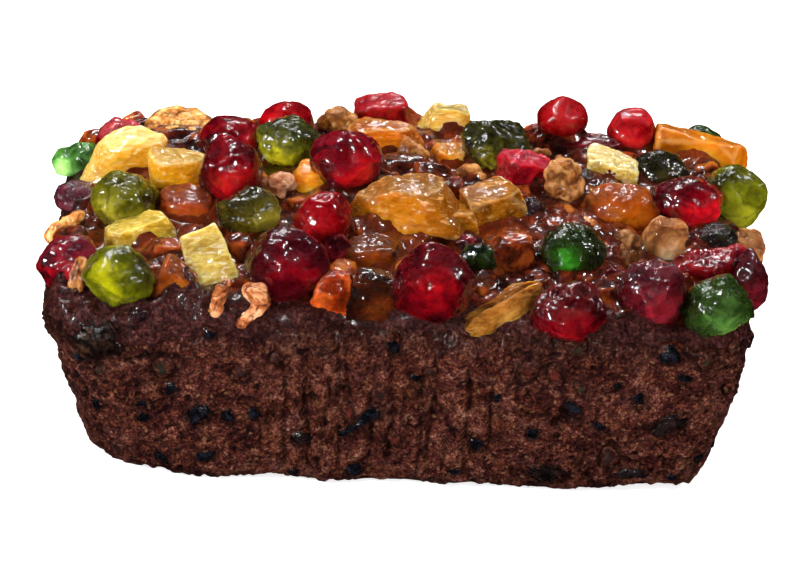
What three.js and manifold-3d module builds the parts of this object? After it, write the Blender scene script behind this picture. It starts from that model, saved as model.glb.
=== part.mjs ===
// Fruit cake loaf: a dark, dense loaf with a thick topping of glace cherries,
// candied pineapple, orange and peel pieces, walnuts and raisins.
// Millimetres, +Z up.  Origin: centre of the flat bottom.
// +X runs along the loaf, the front long side faces -Y.

import * as THREE from 'three';
import { mergeVertices } from 'three/addons/utils/BufferGeometryUtils.js';
import Module from 'manifold-3d';

// ---------------------------------------------------------------- dimensions
const TOP_LENGTH = 196;      // along X, at the rim
const TOP_WIDTH = 108;       // along Y, at the rim
const BASE_LENGTH = 171;     // the sides slope in towards the bottom
const BASE_WIDTH = 88;
const RIM_HEIGHT = 58;       // the top's height along its edges
const DOME = 9;              // how much higher the middle of the top is
const RIM_ROUND = 7;         // rounding of the top edge
const BASE_ROUND = 2.5;      // rounding of the bottom edge
const CORNER_BACK = [17, 12];         // upright corners: at the rim, at the bottom
const CORNER_FRONT_LEFT = [17, 19];
const CORNER_FRONT_RIGHT = [13, 8];
const SIDE_BULGE = 1.2;      // the sides belly out a little at mid height
const CRUMB_WAVE = 0.7;      // slow unevenness of the crumb sides
const RIM_WAVE = 1.1;        // slow unevenness of the top edge
const PLEAT_DEPTH = 0.7;     // upright creases left by a paper liner
const SINK = 1.6;            // how far a piece at least sits in the top
const GAP = 0.36;            // clearance between touching solids
const STEPS_X = 16, STEPS_Y = 9, STEPS_Z = 5;   // facets of the loaf

// ------------------------------------------------------------------- helpers
const fract = (v) => v - Math.floor(v);
const rnd = (seed, k) => fract(Math.sin(seed * 12.9898 + k * 78.233) * 43758.5453);
const clamp = (v, a, b) => Math.min(b, Math.max(a, v));

// smooth lumpy value in -1..1 made of three crossing waves
function wave(x, y, z, seed, freq) {
  let sum = 0;
  for (let k = 0; k < 3; k++) {
    const az = 2 * Math.PI * rnd(seed, k * 3 + 1);
    const cz = 2 * rnd(seed, k * 3 + 2) - 1;
    const sz = Math.sqrt(1 - cz * cz);
    const along = x * Math.cos(az) * sz + y * Math.sin(az) * sz + z * cz;
    sum += Math.sin(freq * along + 2 * Math.PI * rnd(seed, k * 3 + 3));
  }
  return sum / 3;
}

// a closed geometry with shared corners, only positions kept
function welded(geometry) {
  geometry.deleteAttribute('normal');
  geometry.deleteAttribute('uv');
  return mergeVertices(geometry, 1e-5);
}

function warp(geometry, fn) {
  const pos = geometry.attributes.position;
  for (let i = 0; i < pos.count; i++) {
    const q = fn(pos.getX(i), pos.getY(i), pos.getZ(i));
    pos.setXYZ(i, q[0], q[1], q[2]);
  }
  return geometry;
}

// ---------------------------------------------------------------- form rules
// Every topping is a unit form (a ball or a rounded block, -1..1 each way)
// that is bent by named amounts and then scaled to its real size.

function unitVec(v) {
  const l = Math.hypot(...v);
  return [v[0] / l, v[1] / l, v[2] / l];
}

function bendForm([x, y, z], f) {
  // narrowing along X and along Z
  const tx = f.narrowX || 0, tz = f.narrowZ || 0;
  y *= 1 - tx * x; z *= 1 - 0.6 * tx * x;
  x *= 1 - tz * z; y *= 1 - tz * z;
  // arching up or down along X, curving sideways along X, leaning
  z += (f.arch || 0) * (x * x - 0.33);
  y += (f.curve || 0) * (x * x - 0.33);
  x += (f.lean || 0) * z;
  // curling sideways along Z
  x += (f.curl || 0) * (z * z - 0.33);
  // a waist round the middle of X makes two lobes
  const w = 1 - (f.waist || 0) * Math.exp(-((x - (f.waistAt || 0)) ** 2) / 0.05);
  y *= w; z *= w;
  // a flat cut face
  if (f.cut) {
    const n = unitVec(f.cut);
    const d = x * n[0] + y * n[1] + z * n[2] - f.cut[3];
    if (d > 0) { x -= 0.9 * d * n[0]; y -= 0.9 * d * n[1]; z -= 0.9 * d * n[2]; }
  }
  return [x, y, z];
}

const forms = {
  // whole candied cherry: lumpy ball with the dimple of the missing stone
  cherry(n, f, seed) {
    let r = 1 + 0.055 * wave(...n, seed, 2.3) + 0.035 * wave(...n, seed + 11, 5.1);
    const d = unitVec(f.dimple || [rnd(seed, 21) - 0.5, rnd(seed, 22) - 0.9, 0.35 + 0.6 * rnd(seed, 23)]);
    const c = n[0] * d[0] + n[1] * d[1] + n[2] * d[2];
    r -= 0.13 * Math.exp(-(1 - c) / 0.05);
    r += (f.tip || 0) * Math.exp(-(1 - n[2]) / 0.12);
    return bendForm([n[0] * r, n[1] * r, n[2] * r], f);
  },
  // cut piece of candied fruit: a block with soft corners
  block(n, f, seed) {
    const p = f.p || 7;
    const k = (Math.abs(n[0]) ** p + Math.abs(n[1]) ** p + Math.abs(n[2]) ** p) ** (-1 / p);
    const r = k * (1 + 0.05 * wave(...n, seed, 2.9));
    return bendForm([n[0] * r, n[1] * r, n[2] * r], f);
  },
  // walnut: brain-like lobes on both sides of a middle groove
  walnut(n, f, seed) {
    const fold = 1 - Math.abs(wave(...n, seed, 6.5)) * 1.6;
    let r = 0.93 + 0.12 * fold + 0.05 * wave(...n, seed + 5, 3);
    r -= 0.2 * Math.exp(-(n[1] * n[1]) / 0.03) * clamp(n[2] + 0.3, 0, 1);
    return bendForm([n[0] * r, n[1] * r, n[2] * r], f);
  },
  // raisin: shrunken, with folds along its length
  raisin(n, f, seed) {
    const a = Math.atan2(n[2], n[1]);
    const side = Math.hypot(n[1], n[2]);
    const r = 0.97 + 0.07 * side * Math.sin(5 * a + 3 * n[0] + 6 * rnd(seed, 1))
      + 0.05 * wave(...n, seed, 4.5);
    return bendForm([n[0] * r, n[1] * r, n[2] * r], f);
  },
  // long nut sliver, pointed at both ends, with grooves along it
  sliver(n, f, seed) {
    const p = 3.2;
    const k = (Math.abs(n[0]) ** p + Math.abs(n[1]) ** p + Math.abs(n[2]) ** p) ** (-1 / p);
    let [x, y, z] = [n[0] * k, n[1] * k, n[2] * k];
    const slim = 1 - 0.45 * x * x;
    const groove = 0.14 * Math.cos(7 * y + 2 * rnd(seed, 2)) * clamp(z, 0, 1);
    y *= slim; z = z * slim - groove;
    return bendForm([x, y, z], f);
  },
};

// start meshes: balls for round forms, subdivided boxes for blocks
function startMesh(form, size, detail) {
  if (form === 'block' || form === 'sliver') {
    const unit = Math.max(...size) / detail;
    const steps = size.map((s) => Math.max(2, Math.round(s / unit)));
    return warp(welded(new THREE.BoxGeometry(2, 2, 2, ...steps)),
      (x, y, z) => unitVec([x, y, z]));
  }
  return welded(new THREE.IcosahedronGeometry(1, detail));
}

// a topping mesh in its own frame; grow adds that many mm all round
function toppingGeometry(t, grow) {
  const seed = t.seed;
  const half = t.size.map((s) => s / 2 + grow);
  return warp(startMesh(t.form, t.size, t.detail), (x, y, z) => {
    const q = forms[t.form](unitVec([x, y, z]), t.shape, seed);
    return [q[0] * half[0], q[1] * half[1], q[2] * half[2]];
  });
}

// ------------------------------------------------------------------ materials
const colours = {
  crumb: ['#3b1c13', 0.85],
  cherryRed: ['#7d0a14', 0.2],
  cherryBright: ['#a8101a', 0.22],
  cherryDark: ['#4d0614', 0.25],
  cherryGreen: ['#2f5210', 0.2],
  pineapple: ['#d9ae45', 0.3],
  orange: ['#c9761c', 0.28],
  amber: ['#7d3209', 0.22],
  walnut: ['#a5662d', 0.45],
  nutPale: ['#c08f58', 0.5],
  raisin: ['#2a0f10', 0.35],
};
const material = (key) => new THREE.MeshStandardMaterial({
  color: colours[key][0], roughness: colours[key][1], metalness: 0,
});

// ------------------------------------------------------------------- toppings
// name, form, colour, centre, size, turn (yaw, pitch, roll in degrees),
// facet detail, and the amounts that shape it.  Pieces higher in the list
// keep their full form; later ones give way where they touch.
const T = (name, form, colour, at, size, turn, detail, shape = {}) =>
  ({ name, form, colour, at, size, turn, detail, shape });

const toppings = [
  // whole and halved cherries, red
  T('cherry_red_01', 'cherry', 'cherryRed', [-81, 32, 63.6], [16, 15, 12.5], [0, 0, 0], 1),
  T('cherry_red_02', 'cherry', 'cherryRed', [-49.1, 25.7, 69.7], [17, 16, 14.5], [0, 0, 0], 1),
  T('cherry_red_03', 'cherry', 'cherryRed', [-48.4, -1.2, 75.7], [18, 17, 20], [0, 0, 0], 1, { narrowZ: 0.08, dimple: [-0.3, -0.2, 1] }),
  T('cherry_red_04', 'cherry', 'cherryRed', [-33.6, 37.2, 68.5], [17.5, 16, 15], [0, 0, 0], 1),
  T('cherry_red_05', 'cherry', 'cherryRed', [-16.3, 6.3, 76.4], [21.5, 19, 17.5], [0, 0, 0], 1),
  T('cherry_red_06', 'cherry', 'cherryBright', [46.1, 41.7, 71.4], [15, 14.5, 12.5], [0, 0, 0], 1),
  T('cherry_red_07', 'cherry', 'cherryBright', [67.2, 43.7, 67], [15, 14.5, 13], [0, 0, 0], 1),
  T('cherry_red_08', 'cherry', 'cherryRed', [81.4, 2.9, 68.2], [19, 16.5, 15], [0, 0, 12], 1),
  T('cherry_red_09', 'cherry', 'cherryRed', [-31.5, -39.6, 70.8], [22.3, 21, 21.5], [0, 0, 0], 2),
  T('cherry_red_10', 'cherry', 'cherryRed', [8.6, -47.2, 70.6], [22.3, 21, 21.5], [0, 0, 0], 2, { dimple: [0.1, -0.9, -0.1] }),
  T('cherry_red_11', 'cherry', 'cherryBright', [-22.1, -20, 73], [16.5, 15, 15], [0, 0, 0], 1, { tip: 0.12 }),
  T('cherry_red_12', 'cherry', 'cherryRed', [-91, -31.7, 63.6], [18.5, 16, 14], [0, 0, 0], 1),
  T('cherry_red_13', 'cherry', 'cherryRed', [45.8, -49.5, 64.5], [20.5, 16.5, 15], [0, 0, 0], 1),
  T('cherry_dark_01', 'cherry', 'cherryDark', [68.4, -41.6, 67.1], [18.5, 17, 18], [0, 0, 0], 1),
  T('cherry_dark_02', 'cherry', 'cherryDark', [96.3, -28.6, 62.3], [10, 14, 17], [0, 0, 0], 1),
  // whole and halved cherries, green
  T('cherry_green_01', 'cherry', 'cherryGreen', [-32.7, 22.1, 72.1], [18, 16, 14], [0, 0, 0], 1),
  T('cherry_green_02', 'cherry', 'cherryGreen', [-77.9, -7.2, 68.6], [18.8, 18, 16.5], [0, 0, 0], 1, { dimple: [-0.2, -0.5, 0.6] }),
  T('cherry_green_03', 'cherry', 'cherryGreen', [-42.7, -14.8, 71.2], [17.5, 14, 13], [0, 0, -12], 1),
  T('cherry_green_04', 'cherry', 'cherryGreen', [26.6, 23.2, 71.2], [18.5, 17.5, 17], [0, 0, 0], 1),
  T('cherry_green_05', 'cherry', 'cherryGreen', [94.9, 13.8, 64.4], [18.5, 18, 18], [0, 0, 0], 1),
  T('cherry_green_06', 'cherry', 'cherryGreen', [-76.7, -43.2, 66.8], [19.2, 17.5, 17], [0, 0, 10], 1),
  T('cherry_green_07', 'cherry', 'cherryGreen', [46.6, -26.3, 69.3], [19.5, 17, 15], [0, 0, 0], 1),
  T('cherry_green_08', 'cherry', 'cherryGreen', [86.7, -45.2, 64.6], [19, 17, 16.5], [0, 0, 0], 1, { cut: [0.5, -0.2, -1, 0.62] }),
  T('cherry_green_09', 'cherry', 'cherryGreen', [74.4, 24.2, 65.9], [16, 14, 11], [0, 0, 10], 1),
  T('cherry_green_10', 'cherry', 'cherryGreen', [-93.2, 25.3, 61.7], [14.5, 11, 9.5], [0, 0, -20], 1, { waist: 0.18, waistAt: -0.2 }),
  T('cherry_green_11', 'cherry', 'cherryGreen', [87.7, 47.3, 61.9], [12, 11, 9], [0, 0, 0], 1),
  // cut red pieces
  T('cherry_piece_01', 'block', 'cherryBright', [-6.7, 48, 67.5], [15.5, 10, 7.5], [0, 0, -6], 3, { p: 6, arch: -0.1 }),
  T('cherry_piece_02', 'block', 'cherryBright', [35.3, 13.2, 70.3], [16.5, 10.5, 9], [10, 0, 12], 3, { p: 5, narrowX: 0.15, arch: -0.12 }),
  T('cherry_piece_03', 'block', 'cherryDark', [52.8, 37.4, 64.8], [22, 9, 5.5], [0, 0, 0], 3, { p: 5, arch: -0.1 }),
  T('cherry_piece_04', 'block', 'cherryBright', [84.3, -23.9, 63.7], [16.5, 9, 7.5], [0, 0, -8], 3, { p: 5, narrowX: -0.12, arch: -0.1 }),
  // orange slices and cubes
  T('orange_01', 'block', 'orange', [-0, -11, 73.6], [29, 16, 11.5], [-4, 0, -4], 3, { p: 6, curve: -0.16, narrowX: 0.06, narrowZ: -0.06 }),
  T('orange_02', 'block', 'orange', [-6.3, 31.8, 68.1], [22, 11, 10], [0, 0, -8], 3, { p: 6, curve: -0.14, arch: -0.1 }),
  T('orange_03', 'block', 'orange', [22.5, -10.3, 70], [21, 10, 11], [5, 0, -22], 3, { p: 7, waist: 0.16, waistAt: -0.05 }),
  T('orange_04', 'block', 'orange', [86.5, 39.7, 63.7], [26, 8, 8.5], [-8, 0, 14], 3, { p: 8, narrowX: 0.18, curve: 0.08 }),
  T('orange_05', 'block', 'orange', [13.6, 22.6, 68.4], [11.5, 9, 8], [0, 0, 0], 2, { p: 5 }),
  T('orange_06', 'block', 'orange', [-26.3, 11.3, 67.9], [10, 8, 8.5], [0, 0, 0], 2, { p: 6 }),
  // pineapple wedges
  T('pineapple_01', 'block', 'pineapple', [-78.8, 20.8, 66.1], [22, 11.5, 10], [20, 0, -8], 3, { p: 8, narrowX: 0.16, curve: 0.06 }),
  T('pineapple_02', 'block', 'pineapple', [-62.6, 10, 69], [17, 12, 13], [18, 0, -5], 3, { p: 7, narrowX: 0.14, lean: -0.1 }),
  T('pineapple_03', 'block', 'pineapple', [-73.1, -18.7, 65.9], [20, 9.5, 8], [12, 0, -10], 3, { p: 5, waist: 0.2, waistAt: 0.15 }),
  T('pineapple_04', 'block', 'pineapple', [13.5, 45.3, 66.9], [14, 10, 8.5], [10, 0, 10], 3, { p: 7, narrowX: -0.12 }),
  T('pineapple_05', 'block', 'pineapple', [60.2, 22.1, 66.9], [14, 11, 7.5], [-8, 0, 10], 3, { p: 7, narrowZ: 0.1 }),
  T('pineapple_06', 'block', 'pineapple', [-53, -32.8, 66.5], [15.5, 11, 13], [24, 0, 20], 3, { p: 6, narrowZ: 0.2, lean: 0.08 }),
  // glazed amber peel
  T('peel_01', 'block', 'amber', [61.6, -1.4, 68.4], [21, 14, 11.5], [0, 0, -8], 3, { p: 4, narrowZ: 0.1, arch: -0.08 }),
  T('peel_02', 'block', 'amber', [-59.8, -6.3, 65.9], [17, 14, 11], [0, 0, 0], 3, { p: 4 }),
  T('peel_03', 'block', 'amber', [-61.3, -41.6, 65], [12, 8, 8], [-10, 0, 15], 2, { p: 4, narrowX: 0.15 }),
  T('peel_04', 'block', 'amber', [-8.5, -28.2, 66.7], [16, 12, 8], [0, 0, 0], 3, { p: 5 }),
  T('peel_05', 'block', 'amber', [-7.2, -44.3, 64.1], [15, 11, 14], [0, 0, 0], 3, { p: 4, narrowZ: 0.14 }),
  // walnuts and other nuts
  T('walnut_01', 'walnut', 'walnut', [-64.7, 41.9, 63.7], [19, 13, 9], [-5, 0, 0], 2),
  T('walnut_02', 'walnut', 'walnut', [-93.9, -8.1, 60.7], [12.5, 10, 8.5], [0, 0, -10], 1),
  T('walnut_03', 'walnut', 'walnut', [-34.9, 2.5, 70.1], [11, 10, 10.5], [0, 0, 0], 1),
  T('walnut_04', 'walnut', 'walnut', [-18.6, 43.5, 67.7], [11.5, 10, 9], [0, 0, 0], 1),
  T('walnut_05', 'walnut', 'walnut', [45.6, 7.3, 71.7], [11.5, 11, 12.5], [0, 0, 0], 1, { waist: 0.12 }),
  T('walnut_06', 'walnut', 'walnut', [-42.5, -48.9, 63.7], [11, 9, 13], [0, 0, 15], 1, { curl: -0.2, narrowZ: -0.1 }),
  T('walnut_07', 'walnut', 'nutPale', [61.4, -23.4, 68.4], [9.5, 8, 13], [0, 0, 0], 1, { curl: 0.3 }),
  T('nut_sliver_01', 'sliver', 'nutPale', [28.6, -44.4, 63.3], [24, 6, 7], [0, 0, -34], 5, { arch: -0.1 }),
  T('nut_piece_01', 'block', 'nutPale', [73.4, -15.1, 66.9], [11, 9, 12], [10, 0, 8], 2, { p: 5, narrowZ: 0.1 }),
  T('nut_piece_02', 'block', 'nutPale', [97.3, -3.7, 58.9], [10.5, 8, 7.5], [0, 0, 10], 2, { p: 4 }),
  // raisins
  T('raisin_01', 'raisin', 'raisin', [-92.1, 6.3, 61], [13.5, 10, 8.5], [0, 0, 0], 1),
  T('raisin_02', 'raisin', 'raisin', [88.5, -7.2, 62.5], [13.5, 10, 9], [0, 0, 0], 1),
];
toppings.forEach((t, i) => {
  t.seed = i + 1;
  t.matrix = new THREE.Matrix4().compose(
    new THREE.Vector3(...t.at),
    new THREE.Quaternion().setFromEuler(new THREE.Euler(
      THREE.MathUtils.degToRad(t.turn[1]), THREE.MathUtils.degToRad(t.turn[2]),
      THREE.MathUtils.degToRad(t.turn[0]), 'ZXY')),
    new THREE.Vector3(1, 1, 1));
});

// ----------------------------------------------------------------------- loaf
// height of the domed top, before the pieces press into it
function domeHeight(x, y) {
  const X = Math.min(Math.abs(x) / (TOP_LENGTH / 2), 1);
  const Y = Math.min(Math.abs(y) / (TOP_WIDTH / 2), 1);
  return RIM_HEIGHT + DOME * (1 - X ** 2.5) * (1 - Y ** 2.5);
}

// batter and syrup heap up under a piece that lies on others
const nests = toppings.map((t) => ({
  x: t.at[0], y: t.at[1],
  reach: 0.42 * (t.size[0] + t.size[1]) / 2 + 2,
  lift: clamp(t.at[2] - t.size[2] / 2 + SINK - domeHeight(t.at[0], t.at[1]), 0, 7),
})).filter((n) => n.lift > 0);

function topHeight(x, y) {
  let lift = 0;
  for (const n of nests) {
    const d = ((x - n.x) ** 2 + (y - n.y) ** 2) / (n.reach * n.reach);
    lift = Math.max(lift, n.lift * Math.exp(-d * d));
  }
  return domeHeight(x, y) + lift;
}

// plan outline: a rounded rectangle, square corners turned into arcs
function roundPlan(a, b, halfL, halfW, corner) {
  const x = a * halfL, y = b * halfW;
  const ix = clamp(x, -(halfL - corner), halfL - corner);
  const iy = clamp(y, -(halfW - corner), halfW - corner);
  const vx = x - ix, vy = y - iy;
  const len = Math.hypot(vx, vy);
  if (len < 1e-9) return [x, y];
  const k = Math.max(Math.abs(vx), Math.abs(vy)) / len;
  return [ix + vx * k, iy + vy * k];
}

// upright creases on the front, a few millimetres apart
function pleat(x, y, h) {
  if (y > 0) return 0;
  const zone = Math.exp(-(((x + 8) / 34) ** 4));
  const fade = Math.sin(Math.PI * clamp(h, 0, 1)) ** 0.7;
  return PLEAT_DEPTH * zone * fade * Math.sin(x * 0.9 + 2.2 * Math.sin(x * 0.21));
}

function loafGeometry() {
  const box = welded(new THREE.BoxGeometry(2, 2, 2, STEPS_X, STEPS_Y, STEPS_Z));
  const edge = 1 - 1e-6;
  return warp(box, (a, b, c) => {
    const top = c > edge, bottom = c < -edge;
    const rim = Math.abs(a) > edge || Math.abs(b) > edge;
    // side rows run from the bottom rounding to the rim rounding, and the
    // outline widens evenly with height
    const row = clamp(((c + 1) / 2 - 1 / STEPS_Z) / (1 - 2 / STEPS_Z), 0, 1);
    let z = BASE_ROUND + (RIM_HEIGHT - RIM_ROUND - BASE_ROUND) * row;
    let inset = 0;
    if (top) z = RIM_HEIGHT;
    if (bottom) z = 0;
    if (rim && top) inset = 0.3 * RIM_ROUND;
    if (rim && bottom) inset = BASE_ROUND;
    const h = z / RIM_HEIGHT;
    const halfL = BASE_LENGTH / 2 + (TOP_LENGTH - BASE_LENGTH) / 2 * h - inset;
    const halfW = BASE_WIDTH / 2 + (TOP_WIDTH - BASE_WIDTH) / 2 * h - inset;
    const upright = b > 0 ? CORNER_BACK : a < 0 ? CORNER_FRONT_LEFT : CORNER_FRONT_RIGHT;
    const corner = upright[1] + (upright[0] - upright[1]) * h;
    let [x, y] = roundPlan(a, b, halfL, halfW, corner);
    if (top) {
      z = topHeight(x, y);
      if (rim) z += RIM_WAVE * wave(x / 30, y / 30, 0, 7, 6) - 0.3 * RIM_ROUND;
    } else if (!bottom) {
      const out = SIDE_BULGE * Math.sin(Math.PI * h)
        + CRUMB_WAVE * wave(x / 30, y / 30, z / 30, 3, 7) + pleat(x, y, h);
      if (Math.abs(b) > edge) y += Math.sign(b) * out;
      if (Math.abs(a) > edge) x += Math.sign(a) * out;
    }
    return [x, y, z];
  });
}

// ------------------------------------------------------------------- assembly
const wasm = await Module();
wasm.setup();

function toSolid(geometry, matrix) {
  const g = matrix ? geometry.clone().applyMatrix4(matrix) : geometry;
  return new wasm.Manifold(new wasm.Mesh({
    numProp: 3,
    vertProperties: new Float32Array(g.attributes.position.array),
    triVerts: new Uint32Array(g.index.array),
  }));
}

// the largest of the bodies left after a cut
function mainBody(solid) {
  const bodies = solid.decompose();
  return bodies.reduce((a, b) => (b.volume() > a.volume() ? b : a));
}

function toGeometry(solid, inverse) {
  const m = solid.getMesh();
  const g = new THREE.BufferGeometry();
  g.setAttribute('position', new THREE.BufferAttribute(new Float32Array(m.vertProperties), 3));
  g.setIndex(new THREE.BufferAttribute(new Uint32Array(m.triVerts), 1));
  if (inverse) g.applyMatrix4(inverse);
  g.computeVertexNormals();
  return g;
}

const group = new THREE.Group();
let loaf = toSolid(loafGeometry());
const placed = [];

for (const t of toppings) {
  let solid = toSolid(toppingGeometry(t, 0), t.matrix);
  const reach = Math.hypot(...t.size) / 2;
  for (const other of placed) {
    const away = Math.hypot(...t.at.map((v, i) => v - other.at[i]));
    if (away < reach + Math.hypot(...other.size) / 2 + 1) {
      solid = solid.subtract(other.grown);
    }
  }
  solid = mainBody(solid);
  // a slim, grooved form needs a little more to stay clear all round
  const clear = t.form === 'sliver' ? 1.6 * GAP : GAP;
  t.grown = toSolid(toppingGeometry(t, clear), t.matrix);
  placed.push(t);
  loaf = loaf.subtract(t.grown);
  const mesh = new THREE.Mesh(toGeometry(solid, t.matrix.clone().invert()), material(t.colour));
  mesh.name = t.name;
  mesh.position.set(...t.at);
  mesh.quaternion.setFromRotationMatrix(t.matrix);
  group.add(mesh);
}

const loafMesh = new THREE.Mesh(toGeometry(mainBody(loaf)), material('crumb'));
loafMesh.name = 'loaf';
group.add(loafMesh);

export default group;
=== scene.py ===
# Fruit cake loaf: looks.  The new pieces ride on a body:root empty.
import math
import bpy
import bmesh
import numpy as np
from mathutils import Matrix, Vector
from mathutils.geometry import delaunay_2d_cdt


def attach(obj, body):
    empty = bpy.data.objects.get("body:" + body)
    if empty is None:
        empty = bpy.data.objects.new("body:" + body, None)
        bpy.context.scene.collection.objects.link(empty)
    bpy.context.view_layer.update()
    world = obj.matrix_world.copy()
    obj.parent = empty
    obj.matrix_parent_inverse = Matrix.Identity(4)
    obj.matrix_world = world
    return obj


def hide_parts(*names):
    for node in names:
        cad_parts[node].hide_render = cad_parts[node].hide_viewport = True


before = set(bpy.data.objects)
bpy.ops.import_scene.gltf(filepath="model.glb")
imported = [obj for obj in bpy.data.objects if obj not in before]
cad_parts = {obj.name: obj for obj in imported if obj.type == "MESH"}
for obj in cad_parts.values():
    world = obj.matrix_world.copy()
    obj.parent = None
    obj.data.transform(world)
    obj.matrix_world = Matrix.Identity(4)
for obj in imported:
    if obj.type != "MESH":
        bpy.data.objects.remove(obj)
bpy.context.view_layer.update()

# ------------------------------------------------------------------ camera
# view fitted in millimetres; the image is taken as 800 x 563
YAW, ELEV, ROLL = math.radians(-1.24), math.radians(33.0), math.radians(2.63)
DIST, FOCAL_PX, IMG_W = 1100.0, 3868.0, 800.0
TARGET = np.array([0.3, -4.0, 42.9])

back = np.array([math.sin(YAW) * math.cos(ELEV), -math.cos(YAW) * math.cos(ELEV), math.sin(ELEV)])
right0 = np.cross(-back, [0, 0, 1]); right0 /= np.linalg.norm(right0)
up0 = np.cross(right0, -back)
cam_r = math.cos(ROLL) * right0 + math.sin(ROLL) * up0
cam_u = -math.sin(ROLL) * right0 + math.cos(ROLL) * up0
cam_pos = TARGET + back * DIST

cam_data = bpy.data.cameras.new("camera")
cam_data.sensor_width = 36.0
cam_data.lens = FOCAL_PX * 36.0 / IMG_W
cam_data.clip_start, cam_data.clip_end = 0.05, 20.0
camera = bpy.data.objects.new("camera", cam_data)
bpy.context.scene.collection.objects.link(camera)
camera.matrix_world = Matrix([
    [cam_r[0], cam_u[0], back[0], cam_pos[0] * 0.001],
    [cam_r[1], cam_u[1], back[1], cam_pos[1] * 0.001],
    [cam_r[2], cam_u[2], back[2], cam_pos[2] * 0.001],
    [0, 0, 0, 1]])
bpy.context.scene.camera = camera

# ------------------------------------------------------------ noise helpers
def fract(v):
    return v - math.floor(v)

def rnd(seed, k):
    return fract(math.sin(seed * 12.9898 + k * 78.233) * 43758.5453)

def hash01(ix, iy, iz, seed):
    h = (ix * 374761393 + iy * 668265263 + iz * 1103515245 + seed * 1274126177) & 0xFFFFFFFF
    h = ((h ^ (h >> 13)) * 1274126177) & 0xFFFFFFFF
    h = h ^ (h >> 16)
    return (h & 0xFFFFFF) / float(0xFFFFFF)

def vnoise(P, size, seed=0):
    """smooth noise in -1..1; size is the width of one bump in the units of P"""
    Q = P / size
    I = np.floor(Q).astype(np.int64)
    f = Q - I
    f = f * f * f * (f * (f * 6 - 15) + 10)
    out = 0
    for dx in (0, 1):
        for dy in (0, 1):
            for dz in (0, 1):
                w = (f[:, 0] if dx else 1 - f[:, 0]) * (f[:, 1] if dy else 1 - f[:, 1]) \
                    * (f[:, 2] if dz else 1 - f[:, 2])
                out = out + w * hash01(I[:, 0] + dx, I[:, 1] + dy, I[:, 2] + dz, seed)
    return out * 2 - 1

def turned(P, seed):
    """the points in another orientation, so that octaves don't line up"""
    a, b = 6.28 * rnd(seed, 1), 6.28 * rnd(seed, 2)
    Rz = np.array([[math.cos(a), -math.sin(a), 0], [math.sin(a), math.cos(a), 0], [0, 0, 1]])
    Rx = np.array([[1, 0, 0], [0, math.cos(b), -math.sin(b)], [0, math.sin(b), math.cos(b)]])
    return P @ (Rz @ Rx).T

def fbm(P, size, seed, octaves=3, gain=0.5):
    out, amp, tot = 0, 1.0, 0.0
    for k in range(octaves):
        out = out + amp * vnoise(turned(P, seed + k), size, seed + k)
        tot += amp
        size *= 0.5
        amp *= gain
    return out / tot * 1.4

def cells(P, size, seed):
    """distance to the nearest and second nearest of scattered points, and the
    nearest one's own random number"""
    Q = P / size
    I = np.floor(Q).astype(np.int64)
    f1 = np.full(len(P), 9.0); f2 = np.full(len(P), 9.0); who = np.zeros(len(P))
    for dx in (-1, 0, 1):
        for dy in (-1, 0, 1):
            for dz in (-1, 0, 1):
                J = I + np.array([dx, dy, dz])
                c = np.stack([hash01(J[:, 0], J[:, 1], J[:, 2], seed + s) for s in (1, 2, 3)], 1)
                d = np.linalg.norm(J + c - Q, axis=1)
                w = hash01(J[:, 0], J[:, 1], J[:, 2], seed + 4)
                near = d < f1
                f2 = np.where(near, f1, np.minimum(f2, d))
                who = np.where(near, w, who)
                f1 = np.where(near, d, f1)
    return f1 * size, f2 * size, who

def smooth(e0, e1, x):
    t = np.clip((x - e0) / (e1 - e0), 0, 1)
    return t * t * (3 - 2 * t)

# ------------------------------------------------------------- mesh helpers
def add_mesh(name, verts, faces, mat, origin=(0, 0, 0), attrs=None, flat=False):
    """verts in mm; faces an array or a list of arrays of tris and quads"""
    if not isinstance(faces, list):
        faces = [faces]
    faces = [f for f in faces if len(f)]
    me = bpy.data.meshes.new(name)
    co = (np.asarray(verts, float) - np.asarray(origin, float)) * 0.001
    me.vertices.add(len(co))
    me.vertices.foreach_set("co", co.astype(np.float32).ravel())
    loops = np.concatenate([f.ravel() for f in faces]).astype(np.int32)
    sizes = np.concatenate([np.full(len(f), f.shape[1]) for f in faces])
    starts = np.concatenate([[0], np.cumsum(sizes)[:-1]]).astype(np.int32)
    me.loops.add(len(loops))
    me.loops.foreach_set("vertex_index", loops)
    me.polygons.add(len(sizes))
    me.polygons.foreach_set("loop_start", starts)
    me.polygons.foreach_set("use_smooth", np.full(len(sizes), not flat))
    for key, val in (attrs or {}).items():
        a = me.attributes.new(key, 'FLOAT', 'POINT')
        a.data.foreach_set("value", np.asarray(val, np.float32))
    me.update(calc_edges=True)
    me.validate()
    me.materials.append(mat)
    ob = bpy.data.objects.new(name, me)
    ob.location = [c * 0.001 for c in origin]
    bpy.context.scene.collection.objects.link(ob)
    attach(ob, "root")
    return ob

def normals_of(V, faces):
    if not isinstance(faces, list):
        faces = [faces]
    N = np.zeros_like(V)
    for F in faces:
        n = F.shape[1]
        a, b, c = V[F[:, 0]], V[F[:, 1]], V[F[:, 2]]
        fn = np.cross(b - a, c - a)
        if n == 4:
            fn = fn + np.cross(c - a, V[F[:, 3]] - a)
        for k in range(n):
            for ax in range(3):
                N[:, ax] += np.bincount(F[:, k], fn[:, ax], len(V))
    L = np.linalg.norm(N, axis=1, keepdims=True)
    return N / np.maximum(L, 1e-12)

_ico = {}
def ico(level):
    if level not in _ico:
        bm = bmesh.new()
        bmesh.ops.create_icosphere(bm, subdivisions=level, radius=1.0)
        V = np.array([v.co[:] for v in bm.verts])
        F = np.array([[v.index for v in f.verts] for f in bm.faces])
        bm.free()
        _ico[level] = (V / np.linalg.norm(V, axis=1, keepdims=True), F)
    return _ico[level]

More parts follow.
